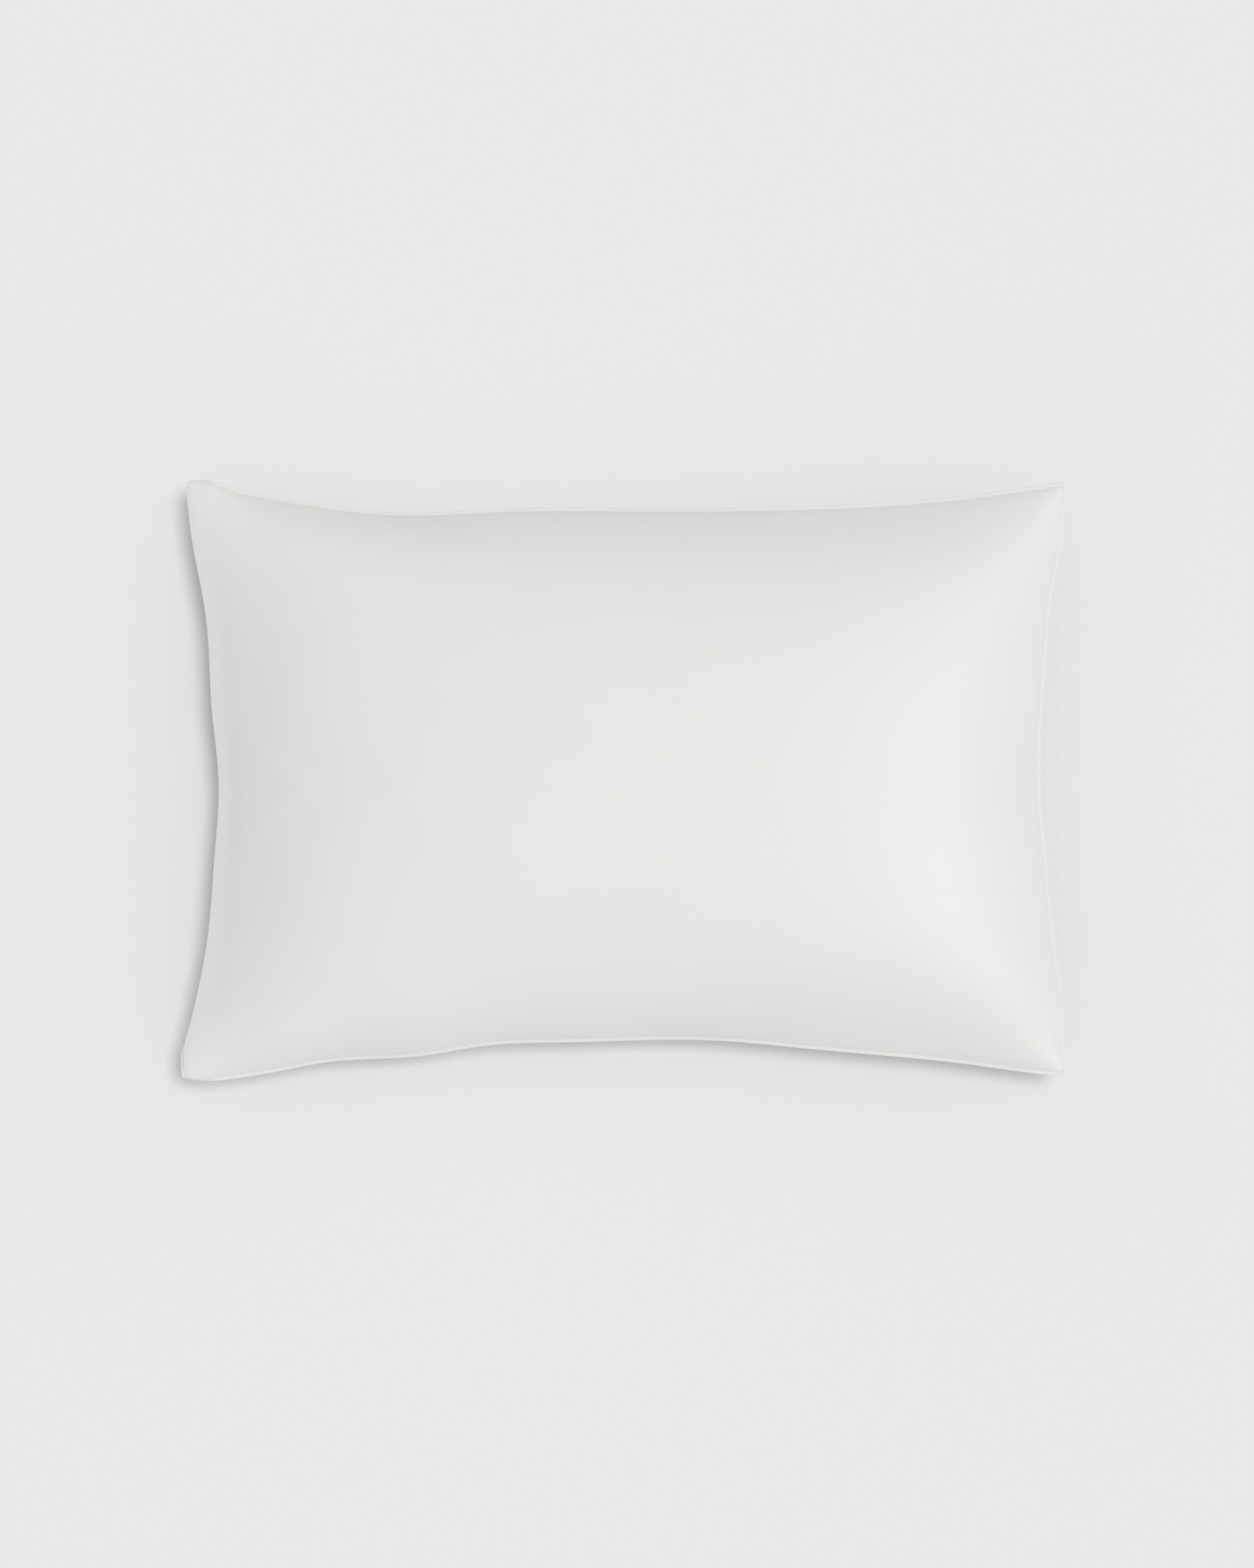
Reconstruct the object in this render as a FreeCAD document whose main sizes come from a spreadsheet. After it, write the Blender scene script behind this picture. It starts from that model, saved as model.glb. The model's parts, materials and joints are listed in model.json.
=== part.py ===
"""Bed pillow in a plain satin pillowcase, closed by a concealed zip at one short end.

Millimetres, +Z up.  X runs along the pillow: the sewn short end is at +X, the zipped one at -X.
The origin is on the face that the pillow rests on, below the middle of the case.

The soft pieces are crowned shells that nest inside each other: case, ticking, fill.  The zipped
edge is an arc, and everything on the zip is part of a ring about that arc's axis, so the
slider's travel is a plain rotation about the same axis.
"""

import FreeCAD, Part
import math
import os

from FreeCAD import Vector

DIMENSIONS = [
    ("case_length", 743.0, "corner to corner along X, case filled"),
    ("case_width", 502.0, "corner to corner along Y, case filled"),
    ("zip_end_sag", 28.0, "how far the zipped short edge pulls in at its middle"),
    ("closed_end_sag", 22.0, "the same for the sewn short edge"),
    ("front_sag", 33.0, "the same for the long edge at -Y"),
    ("rear_sag", 24.0, "the same for the long edge at +Y"),
    ("seam_level", 52.0, "height of the case's seam above the resting face"),
    ("crown_rise", 86.0, "crown of the case above its seam"),
    ("belly_drop", 76.0, "depth the underside would have if nothing flattened it"),
    ("skin", 1.0, "thickness of a panel, measured upwards"),
    ("case_wall", 1.5, "case panel and its turned allowance, at the seam"),
    ("ticking_wall", 2.5, "ticking panel and its allowance, at the seam"),
    ("rib_width", 3.0, "sewn rib that stands out round three sides of the case"),
    ("rib_layer", 0.8, "one layer of that rib"),
    ("fold_ledge", 2.5, "the same ledge along the zipped end, where the hem is folded in"),
    ("corner_radius", 3.0, "corners of the rib, in plan"),
    ("overhang", 4.0, "how far the front panel's fold covers the zip"),
    ("slit_height", 2.4, "gap below that fold, where the slider's neck runs"),
    ("slit_spare", 12.0, "slit beyond each end of the coil"),
    ("hem_spare", 20.0, "folded hem beyond each end of the coil"),
    ("fold_radius", 1.0, "rounding of the folded hem, where it starts behind the edge"),
    ("tack_width", 3.0, "bar tack at each end of the slit, along the zip"),
    ("tack_length", 2.0, "bar tack, in from the back panel's edge"),
    ("layer_gap", 0.9, "play between nested layers, measured upwards"),
    ("insert_play", 2.5, "play between case and insert at the three sewn sides"),
    ("insert_setback", 34.0, "ticking's edge to the case's edge at the zipped end"),
    ("fill_play", 3.0, "play between fibre and ticking, at the seam"),
    ("piping_radius", 3.0, "outside of the covered piping"),
    ("piping_core_radius", 2.2, "bore of the covered piping"),
    ("cord_play", 0.1, "play round the cord in that bore"),
    ("piping_strip", 1.2, "piping's flange that shows beside the ticking"),
    ("piping_flange", 0.6, "thickness of that flange"),
    ("flange_tuck", 2.1, "piping's flange that lies between the ticking's panels"),
    ("ticking_corner", 5.0, "corners of the ticking, in plan"),
    ("zip_setback", 11.0, "coil's centre line behind the back panel's edge"),
    ("zip_reach", 196.0, "half the length of the coil, along Y"),
    ("tape_thickness", 0.4, "woven tape"),
    ("tape_spare", 9.0, "tape beyond the end of the coil"),
    ("tape_fold", 4.0, "where each tape folds over, from the zip's middle"),
    ("tape_width", 13.0, "folded part of each tape"),
    ("tape_sewing", 1.0, "sewing behind the tape's fold"),
    ("coil_inside", 0.05, "coil half's near face from the zip's middle"),
    ("coil_outside", 1.55, "coil half's far face from the zip's middle"),
    ("coil_depth", 0.8, "half the depth of the coil"),
    ("top_stop_length", 2.0, "along the zip"),
    ("bottom_stop_length", 3.0, "along the zip"),
    ("slider_length", 9.0, "along the zip"),
    ("slider_half_height", 3.1, "across the zip"),
    ("plate_outside", 2.0, "outer face of a slider plate from the coil's centre"),
    ("plate_inside", 1.1, "inner face of the same plate"),
    ("flange_height", 0.8, "rim of a slider plate that guides the tape"),
    ("flange_inside", 0.55, "inner face of that rim from the coil's centre"),
    ("plate_bite", 0.2, "how far wedge and neck run into the slider's plates"),
    ("wedge_length", 4.0, "divider between the two coils, along the zip"),
    ("wedge_inset", 1.0, "divider behind the slider's front end"),
    ("wedge_half_height", 0.9, "across the zip"),
    ("neck_half_height", 0.6, "neck that passes the slit"),
    ("neck_length", 3.4, "neck, along the zip"),
    ("pin_reach", 12.2, "pull's pin in front of the coil's centre"),
    ("pin_radius", 0.6, "pull's pin"),
    ("pin_drop", 4.6, "pin below the neck's middle"),
    ("pin_head", 0.5, "height of the pin's head"),
    ("pin_play", 0.1, "play between pin and pull"),
    ("barrel_radius", 1.2, "pull's barrel round the pin"),
    ("barrel_top", 1.0, "top of the pull below the neck's middle"),
    ("pull_height", 3.3, "pull, which stands upright"),
    ("pull_length", 18.0, "pin to tip"),
    ("pull_thickness", 1.1, "tab of the pull"),
    ("running_fit", 0.4, "play beside the slider, and at the ends of its travel"),
    ("thread_width", 0.5, "laid sewing thread"),
    ("thread_height", 0.3, "the same, above the cloth"),
    ("label_length", 26.0, "woven care labels, along the seam"),
    ("label_height", 0.6, "folded care label"),
]
CROWN_POWER = 0.82  # how steeply the crown meets the seam: 0.5 is upright, 1 is a plain arch
RIDGE = 1.5  # how clear a ridge runs in from each corner: 0 is none, 3 is a creased one
LENGTH_FULLNESS = 2.6  # flatness of the crown along X: 2 is a plain arch
WIDTH_FULLNESS = 2.3  # the same along Y
GRID_X, GRID_Y = 19, 17  # points that each crowned surface is drawn through
MARGIN = 50.0  # how far a cutting tool reaches past the pillow

LABELS = {
    # name: (middle along the zip, half length, nearest and furthest from the coil's centre, level)
    "ticking_care_label": (-30, "dimensions.label_length / 2", 3.0, 14.0, 0),
    "case_care_label": (224, "8", -6.0, 9.0, -2.0),
}

# Places on the zip, as expressions: the axis it turns about, and its coil's centre line.
EDGE_RADIUS = "(dimensions.case_width ^ 2 / (8 * dimensions.zip_end_sag) + dimensions.zip_end_sag / 2)"
AXIS_X = f"(dimensions.zip_end_sag - dimensions.case_length / 2 - {EDGE_RADIUS})"
COIL_RADIUS = f"({EDGE_RADIUS} + dimensions.overhang + dimensions.zip_setback)"
COIL_LEVEL = "(dimensions.seam_level - dimensions.slit_height / 2)"
PIN_Y = "(-dimensions.zip_reach - dimensions.slider_length / 6)"
PIN_ANGLE = f"asin({PIN_Y} / ({COIL_RADIUS} - dimensions.pin_reach))"

doc = FreeCAD.newDocument("bed_pillow")
sheet = doc.addObject("Spreadsheet::Sheet", "dimensions")
for row, (alias, value, meaning) in enumerate(DIMENSIONS, start=1):
    sheet.set(f"A{row}", alias)
    sheet.set(f"B{row}", str(value))
    sheet.set(f"C{row}", meaning)
    sheet.setAlias(f"B{row}", alias)
doc.recompute()
nodes = {}


def size(alias):
    return float(sheet.get(alias))


def keep(item):
    """Registers an object as a sub-part, under its own name."""
    item.Label = item.Name
    nodes[item.Name] = item
    return item


def bind(item, **expressions):
    """Ties properties to the sheet; a double underscore stands for the dot in a property's path."""
    for prop, expression in expressions.items():
        item.setExpression(prop.replace("__", "."), expression)


def feature(name, shape):
    item = doc.addObject("Part::Feature", name)
    item.Shape = shape
    return item


def cut(name, base, tool):
    item = doc.addObject("Part::Cut", name)
    item.Base, item.Tool = base, tool
    return item


def common(name, base, tool):
    item = doc.addObject("Part::Common", name)
    item.Base, item.Tool = base, tool
    return item


def fuse(name, pieces):
    item = doc.addObject("Part::MultiFuse", name)
    item.Shapes = pieces
    return item


# ---------------------------------------------------------------- plan outlines

class Inset:
    """How far each side of a layer lies inside the case's nominal outline."""

    def __init__(self, zip_end, closed_end, front, rear):
        self.zip_end, self.closed_end = zip_end, closed_end
        self.front, self.rear = front, rear

    def more(self, by):
        return Inset(self.zip_end + by, self.closed_end + by, self.front + by, self.rear + by)


def side_circles(inset):
    """(centre, radius) of the sides' concave arcs: front, closed end, rear, zip end."""
    half_x, half_y = size("case_length") / 2, size("case_width") / 2

    def circle(half_chord, sag, direction, reach, inside):
        radius = half_chord**2 / (2 * sag) + sag / 2
        return direction * (reach - sag + radius), radius + inside

    return [
        circle(half_x, size("front_sag"), Vector(0, -1, 0), half_y, inset.front),
        circle(half_y, size("closed_end_sag"), Vector(1, 0, 0), half_x, inset.closed_end),
        circle(half_x, size("rear_sag"), Vector(0, 1, 0), half_y, inset.rear),
        circle(half_y, size("zip_end_sag"), Vector(-1, 0, 0), half_x, inset.zip_end),
    ]


def corner_round(one, two, radius, corner):
    """The rounding between two side arcs: its centre and where it touches each of them."""
    (c1, r1), (c2, r2) = one, two
    apart = c2 - c1
    reach1, reach2 = r1 + radius, r2 + radius
    along = (reach1**2 - reach2**2 + apart.Length**2) / (2 * apart.Length)
    across = math.sqrt(reach1**2 - along**2)
    unit = Vector(apart).normalize()
    normal = Vector(-unit.y, unit.x, 0)
    options = [c1 + unit * along + normal * across, c1 + unit * along - normal * across]
    centre = min(options, key=lambda point: (point - corner).Length)
    touch1 = c1 + (centre - c1).normalize() * r1
    touch2 = c2 + (centre - c2).normalize() * r2
    return centre, touch1, touch2


def arc_about(centre, radius, start, end):
    """Arc from start to end, the short way, about a centre."""
    middle = centre + ((start + end) / 2 - centre).normalize() * radius
    return Part.Arc(start, middle, end)


def outline_arcs(inset, radius):
    """Four concave sides and the rounded corners between them, at z = 0: side, corner, side..."""
    circles = side_circles(inset)
    half_x, half_y = size("case_length") / 2, size("case_width") / 2
    signs = [(1, -1), (1, 1), (-1, 1), (-1, -1)]
    corners = []
    for index, (sx, sy) in enumerate(signs):
        corner = Vector(sx * half_x, sy * half_y, 0)
        corners.append(corner_round(circles[index], circles[(index + 1) % 4], radius, corner))
    arcs = []
    for index, (centre, leaving, arriving) in enumerate(corners):
        side_centre, side_radius = circles[index]
        arcs.append(arc_about(side_centre, side_radius, corners[index - 1][2], leaving))
        arcs.append(arc_about(centre, radius, leaving, arriving))
    return arcs


def outline(inset, radius, level):
    wire = Part.Wire([arc.toShape() for arc in outline_arcs(inset, radius)])
    wire.translate(Vector(0, 0, level))
    return wire


# ---------------------------------------------------------------- crowned solids

def crown(u, v):
    """Height of the crown, from 0 at the seam to 1 in the middle; u and v run from -1 to 1."""
    along, across = 1 - abs(u) ** LENGTH_FULLNESS, 1 - abs(v) ** WIDTH_FULLNESS
    if min(along, across) < 1e-9:
        return 0.0
    sharpness = along ** (-RIDGE * CROWN_POWER) + across ** (-RIDGE * CROWN_POWER)
    return (sharpness / 2) ** (-1 / RIDGE)


def plan_point(inset, u, v):
    """Where (u, v) falls in plan, inside a layer's four concave sides."""
    half_x, half_y = size("case_length") / 2, size("case_width") / 2
    low_x, high_x = inset.zip_end - half_x, half_x - inset.closed_end
    low_y, high_y = inset.front - half_y, half_y - inset.rear
    pull_x = size("zip_end_sag") * (1 - u) / 2 - size("closed_end_sag") * (1 + u) / 2
    pull_y = size("front_sag") * (1 - v) / 2 - size("rear_sag") * (1 + v) / 2
    flat_x = (low_x + high_x) / 2 + u * (high_x - low_x) / 2
    flat_y = (low_y + high_y) / 2 + v * (high_y - low_y) / 2
    x, y = flat_x, flat_y
    for _ in range(4):  # each side's pull depends on the other coordinate
        x, y = flat_x + pull_x * (1 - (y / half_y) ** 2), flat_y + pull_y * (1 - (x / half_x) ** 2)
    return x, y


def crowned_face(inset, base, rise):
    """The crown as one face; it drops below its base where rise is negative."""
    rows = []
    for i in range(GRID_X):
        u = math.sin(math.pi * (i / (GRID_X - 1) - 0.5))
        row = []
        for j in range(GRID_Y):
            v = math.sin(math.pi * (j / (GRID_Y - 1) - 0.5))
            x, y = plan_point(inset, u, v)
            row.append(Vector(x, y, base + rise * crown(u, v)))
        rows.append(row)
    surface = Part.BSplineSurface()
    surface.interpolate(rows)
    return surface.toShape()


def solid_of(faces):
    solid = Part.Solid(Part.makeShell(faces))
    if solid.Volume < 0:
        solid.reverse()
    return solid


def crowned(name, inset, base, rise):
    """Closed solid between a flat seam and its crown."""
    top = crowned_face(inset, base, rise)
    flat = Part.Face(Part.Wire(Part.sortEdges(top.Edges)[0]))
    return feature(name, solid_of([top, flat]))


def ring_face(outer, inner):
    """Flat face between two closed wires in one plane."""
    return Part.makeFace([outer, inner], "Part::FaceMakerBullseye").Faces


def wire_at(edges, level):
    """The closed wire of those edges that lie flat at one level."""
    flat = []
    for edge in edges:
        box = edge.BoundBox
        if abs(box.ZMin - level) < 1e-3 and abs(box.ZMax - level) < 1e-3:
            flat.append(edge)
    return Part.Wire(Part.sortEdges(flat)[0])


def crowned_with_rib(name, inset, rib_inset, rise, layer):
    """The same with the sewn rib round it; both rise and layer are negative on the underside."""
    seam = size("seam_level")
    top = crowned_face(inset, seam + layer, rise - layer)
    foot = Part.Wire(Part.sortEdges(top.Edges)[0])
    wall = outline(rib_inset, size("corner_radius"), seam).extrude(Vector(0, 0, layer))
    flat = Part.Face(wire_at(wall.Edges, seam))
    ledge = ring_face(wire_at(wall.Edges, seam + layer), foot)
    return feature(name, solid_of([top, flat] + ledge + wall.Faces))


def bedded(name, hanging, level):
    """Flattens a hanging crown at a level, where it rests."""
    bed = doc.addObject("Part::Box", name + "_bed")
    bind(
        bed,
        Length=f"dimensions.case_length + 2 * {MARGIN}",
        Width=f"dimensions.case_width + 2 * {MARGIN}",
        Height=f"dimensions.seam_level + {MARGIN}",
        Placement__Base__x=f"-dimensions.case_length / 2 - {MARGIN}",
        Placement__Base__y=f"-dimensions.case_width / 2 - {MARGIN}",
        Placement__Base__z=level,
    )
    return common(name, hanging, bed)


def seam_face(shape):
    """The flat face of a crowned solid that lies in the seam."""
    for face in shape.Faces:
        if face.Surface.TypeId == "Part::GeomPlane" and abs(face.CenterOfMass.z - size("seam_level")) < 0.5:
            if face.normalAt(0, 0).z ** 2 > 0.99 and len(face.Wires) == 1:
                return face
    raise RuntimeError("a crowned solid has no seam face")


def shell_between(name, outside, cavity):
    """A panel: the space between two crowned solids whose flat faces share the seam."""
    doc.recompute()
    outer_flat, inner_flat = seam_face(outside.Shape), seam_face(cavity.Shape)
    faces = [face for face in outside.Shape.Faces if not face.isSame(outer_flat)]
    faces += [face.reversed() for face in cavity.Shape.Faces if not face.isSame(inner_flat)]
    rim = ring_face(outer_flat.OuterWire, inner_flat.OuterWire)[0]
    if rim.normalAt(0, 0).z * outer_flat.normalAt(0, 0).z < 0:
        rim = rim.reversed()
    return feature(name, solid_of(faces + [rim]))


# ---------------------------------------------------------------- rings about the zip's axis

def ring(name, inner, outer, low, high, start, end):
    """Part of a ring.  Radii are from the coil's centre line, heights from its level, and start
    and end are along Y; all of them are expressions."""
    angle = "asin(({0}) / {1})"
    first, last = angle.format(start, COIL_RADIUS), angle.format(end, COIL_RADIUS)
    pieces = []
    for suffix, radius, turn in (("_outer", outer, f"{last} - {first}"), ("_inner", inner, "360")):
        cylinder = doc.addObject("Part::Cylinder", name + suffix)
        bind(
            cylinder,
            Radius=f"{COIL_RADIUS} + ({radius})",
            Height=f"({high}) - ({low})",
            Angle=turn,
            Placement__Base__x=AXIS_X,
            Placement__Base__z=f"{COIL_LEVEL} + ({low})",
            Placement__Rotation__Angle=first,
        )
        pieces.append(cylinder)
    return cut(name, *pieces)


def mirrored_ring(name, side, inner, outer, low, high, start, end):
    """A ring above the zip's middle for side "front", and its mirror image below it for "back"."""
    if side == "back":
        low, high = f"-({high})", f"-({low})"
    return ring(name, inner, outer, low, high, start, end)


# ---------------------------------------------------------------- pillowcase

def case_panels():
    seam, rib, wall = size("seam_level"), size("rib_width"), size("case_wall")
    ledge = size("fold_ledge")
    skin, layer = size("skin"), size("rib_layer")
    edge = "-dimensions.overhang - dimensions.zip_setback"  # front panel's edge, from the coil

    inset = Inset(ledge, rib, rib, rib)
    rim = Inset(0, 0, 0, 0)
    outside = crowned_with_rib("front_outside", inset, rim, size("crown_rise"), layer)
    upper = crowned("front_cavity", inset.more(wall), seam, size("crown_rise") - skin)
    front = shell_between("front_shell", outside, upper)
    hem = ring(
        "front_hem",
        f"{edge} + dimensions.fold_radius",
        f"{edge} + dimensions.overhang + dimensions.fold_ledge + dimensions.fold_radius",
        "dimensions.slit_height / 2",
        "dimensions.slit_height / 2 + dimensions.rib_layer",
        "-dimensions.zip_reach - dimensions.hem_spare",
        "dimensions.zip_reach + dimensions.hem_spare",
    )
    keep(fuse("case_front_panel", [front, hem]))

    lap = size("overhang")
    inset = Inset(lap + ledge, rib, rib, rib)
    rim = Inset(lap, 0, 0, 0)
    hanging = crowned_with_rib("back_hanging", inset, rim, -size("belly_drop"), -layer)
    outside = bedded("back_outside", hanging, "0")
    hollow = crowned("back_hollow", inset.more(wall), seam, skin - size("belly_drop"))
    lower = bedded("back_cavity", hollow, "dimensions.skin")
    back = shell_between("back_shell", outside, lower)
    slit = ring(
        "slit",
        f"{edge} + dimensions.overhang / 2",
        f"{edge} + dimensions.overhang + dimensions.fold_ledge + dimensions.case_wall + dimensions.fold_radius",
        "-dimensions.slit_height / 2",
        "dimensions.slit_height",
        "-dimensions.zip_reach - dimensions.slit_spare",
        "dimensions.zip_reach + dimensions.slit_spare",
    )
    keep(cut("case_back_panel", back, slit))
    return {"front": upper, "back": lower}


def case_threads():
    """One line of sewing along each closed side, seen on both faces of the rib."""
    seam, layer, rise = size("seam_level"), size("rib_layer"), size("thread_height")
    inset = size("rib_width") / 2
    half = size("thread_width") / 2
    sides = {"front": 0, "closed_end": 2, "rear": 4}  # places in outline_arcs, corners between them
    outer = outline_arcs(Inset(*[inset - half] * 4), size("corner_radius"))
    inner = outline_arcs(Inset(*[inset + half] * 4), size("corner_radius"))
    for side, index in sides.items():
        one, two = outer[index], inner[index]
        strip = strip_between(one, two)
        lines = []
        for level, height in ((seam + layer, rise), (seam - layer, -rise)):
            line = strip.extrude(Vector(0, 0, height))
            line.translate(Vector(0, 0, level))
            lines.append(line)
        keep(feature(f"case_thread_{side}", Part.makeCompound(lines)))


def strip_between(one, two):
    """Flat strip at z = 0 between two arcs that run the same way."""
    edges = [
        one.toShape(),
        Part.LineSegment(one.EndPoint, two.EndPoint).toShape(),
        two.toShape(),
        Part.LineSegment(two.StartPoint, one.StartPoint).toShape(),
    ]
    return Part.Face(Part.Wire(Part.sortEdges(edges)[0]))


# ---------------------------------------------------------------- insert

def insert():
    """Stuffed insert: two ticking panels sewn to a piping flange, and the fibre inside them."""
    seam, skin, gap = size("seam_level"), size("skin"), size("layer_gap")
    half_flange = size("piping_flange") / 2
    piped = 2 * size("piping_radius") + size("piping_strip")
    side = size("rib_width") + size("case_wall") + size("insert_play") + piped
    inset = Inset(size("insert_setback"), side, side, side)
    rise, drop = size("crown_rise") - skin - gap, size("belly_drop") - skin - gap
    base_up, base_down = seam + half_flange, seam - half_flange

    cavity = inset.more(size("ticking_wall"))
    for name, base, height in (("top", base_up, rise), ("bottom", base_down, -drop)):
        inward = -skin if height > 0 else skin
        outside = crowned(f"ticking_{name}_outside", inset, base, height)
        hollow = crowned(f"ticking_{name}_hollow", cavity, base, height + inward)
        if height < 0:
            outside = bedded(f"ticking_{name}_bedded", outside, "dimensions.skin + dimensions.layer_gap")
            hollow = bedded(f"ticking_{name}_hollow_bedded", hollow, "2 * dimensions.skin + dimensions.layer_gap")
        panel = shell_between(f"ticking_{name}_shell", outside, hollow)
        rounding = Part.Face(outline(inset, size("ticking_corner"), -MARGIN))
        rounding = rounding.extrude(Vector(0, 0, size("seam_level") + size("crown_rise") + 2 * MARGIN))
        keep(common(f"ticking_{name}_panel", panel, feature(f"ticking_{name}_corners", rounding)))

    fill = cavity.more(size("fill_play"))
    upper = crowned("fill_top", fill, seam, rise - skin - gap)
    lower = crowned("fill_hanging", fill.more(gap), seam, skin + gap - drop)
    lower = bedded("fill_bottom", lower, "2 * (dimensions.skin + dimensions.layer_gap)")
    keep(fuse("fibre_fill", [upper, lower]))
    return inset


def swept(name, wire, radius):
    """A round cord along a closed plan outline."""
    start = wire.Edges[0]
    at, along = start.valueAt(start.FirstParameter), start.tangentAt(start.FirstParameter)
    section = Part.Wire(Part.Circle(at, along, radius).toShape())
    shape = wire.makePipeShell([section], True, False)
    if shape.Volume < 0:
        shape.reverse()
    return feature(name, shape)


def piping(ticking_inset):
    """Covered cord round the insert, its flange between the panels, and the thread beside it."""
    seam, strip, half_flange = size("seam_level"), size("piping_strip"), size("piping_flange") / 2
    off = size("piping_radius") + strip
    corner = size("ticking_corner")
    path = outline(ticking_inset.more(-off), corner + off, seam)
    tube = swept("piping_tube", path, size("piping_radius"))
    bore = swept("piping_bore", path, size("piping_core_radius"))
    keep(swept("ticking_piping_cord", path, size("piping_core_radius") - size("cord_play")))
    tuck = size("flange_tuck")
    window = outline(ticking_inset.more(tuck), corner - tuck, seam - half_flange)
    flat = ring_face(outline(ticking_inset.more(-off), corner + off, seam - half_flange), window)
    flange = feature("piping_flange", flat[0].extrude(Vector(0, 0, size("piping_flange"))))
    keep(cut("ticking_piping_cover", fuse("piping_and_flange", [tube, flange]), bore))

    half = size("thread_width") / 2
    middle = strip / 2
    lines = []
    for height in (size("thread_height"), -size("thread_height")):
        level = seam + math.copysign(half_flange, height)
        outer = outline(ticking_inset.more(-middle - half), corner + middle + half, level)
        inner = outline(ticking_inset.more(-middle + half), corner + middle - half, level)
        lines.append(ring_face(outer, inner)[0].extrude(Vector(0, 0, height)))
    keep(feature("ticking_thread", Part.makeCompound(lines)))
    return tube


def care_labels(case_cavity, piping_tube):
    """A folded label sewn into each layer, near the zipped end."""
    for name, (middle, half, near, far, level) in LABELS.items():
        low = f"dimensions.slit_height / 2 - dimensions.label_height / 2 + ({level})"
        strip = ring(name + "_strip", str(near), str(far), low, f"{low} + dimensions.label_height",
                     f"{middle} - {half}", f"{middle} + {half}")
        if name.startswith("ticking"):
            keep(cut(name, strip, piping_tube))
        else:
            keep(common(name, strip, case_cavity["back"]))


# ---------------------------------------------------------------- zip

def zip_chain(case_cavity):
    """Both tapes, their coils and stops, and the thread that sews them in."""
    reach = "dimensions.zip_reach"
    spare = "dimensions.tape_spare"
    half_tape = "dimensions.tape_thickness / 2"
    for side in ("front", "back"):
        leg = mirrored_ring(
            f"tape_{side}_leg", side, f"-{half_tape}", half_tape,
            "dimensions.coil_outside", "dimensions.tape_fold",
            f"-{reach} - {spare}", f"{reach} + {spare}",
        )
        shelf = mirrored_ring(
            f"tape_{side}_shelf", side, "-dimensions.tape_width", half_tape,
            "dimensions.tape_fold - dimensions.tape_thickness", "dimensions.tape_fold",
            f"-{reach} - {spare}", f"{reach} + {spare}",
        )
        folded = fuse(f"tape_{side}_folded", [leg, shelf])
        keep(common(f"zip_tape_{side}", folded, case_cavity[side]))
        keep(mirrored_ring(
            f"zip_coil_{side}", side, "-dimensions.coil_depth", "dimensions.coil_depth",
            "dimensions.coil_inside", "dimensions.coil_outside",
            f"-{reach}", f"{reach} - dimensions.bottom_stop_length",
        ))
        keep(mirrored_ring(
            f"zip_thread_{side}", side,
            "-dimensions.tape_sewing - dimensions.thread_width", "-dimensions.tape_sewing",
            "dimensions.tape_fold", "dimensions.tape_fold + dimensions.thread_height",
            f"-{reach}", reach,
        ))


def zip_stops():
    """Two top stops beside the closed slider, one bottom stop across both coils, and bar tacks
    that close the two ends of the slit."""
    half_depth = "dimensions.coil_depth"
    parked = "-dimensions.zip_reach - 2 / 3 * dimensions.slider_length"
    tops = []
    for side in ("front", "back"):
        tops.append(mirrored_ring(
            f"top_stop_{side}", side, f"-{half_depth}", half_depth,
            "dimensions.wedge_half_height", "dimensions.coil_outside",
            f"{parked} - dimensions.running_fit - dimensions.top_stop_length",
            f"{parked} - dimensions.running_fit",
        ))
    keep(group("zip_top_stops", tops))
    reach = "dimensions.zip_reach"
    keep(ring(
        "zip_bottom_stop", f"-{half_depth}", half_depth,
        "-dimensions.coil_outside", "dimensions.coil_outside",
        f"{reach} - dimensions.bottom_stop_length", reach,
    ))
    edge = "-dimensions.zip_setback"  # back panel's edge, from the coil
    tacks = []
    outermost = f"({reach} + dimensions.slit_spare)"
    for name, start in (("left", f"-{outermost}"), ("right", f"{outermost} - dimensions.tack_width")):
        tacks.append(ring(
            f"tack_{name}", f"{edge} + dimensions.thread_width",
            f"{edge} + dimensions.thread_width + dimensions.tack_length",
            "-dimensions.slit_height / 2", "dimensions.slit_height / 2",
            start, f"{start} + dimensions.tack_width",
        ))
    keep(group("zip_bar_tacks", tacks))


def group(name, pieces):
    """Separate solids kept as one sub-part."""
    item = doc.addObject("Part::Compound", name)
    item.Links = pieces
    return item


def block_at_pin(name, radius, low, high):
    """Upright cylinder on the pull's pivot; its heights are below and above the neck's middle."""
    pin = doc.addObject("Part::Cylinder", name)
    reach = f"({COIL_RADIUS} - dimensions.pin_reach)"
    bind(
        pin,
        Radius=radius,
        Height=f"({high}) - ({low})",
        Placement__Base__x=f"{AXIS_X} + sqrt({reach} ^ 2 - {PIN_Y} ^ 2)",
        Placement__Base__y=PIN_Y,
        Placement__Base__z=f"{COIL_LEVEL} + ({low})",
    )
    return pin


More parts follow.
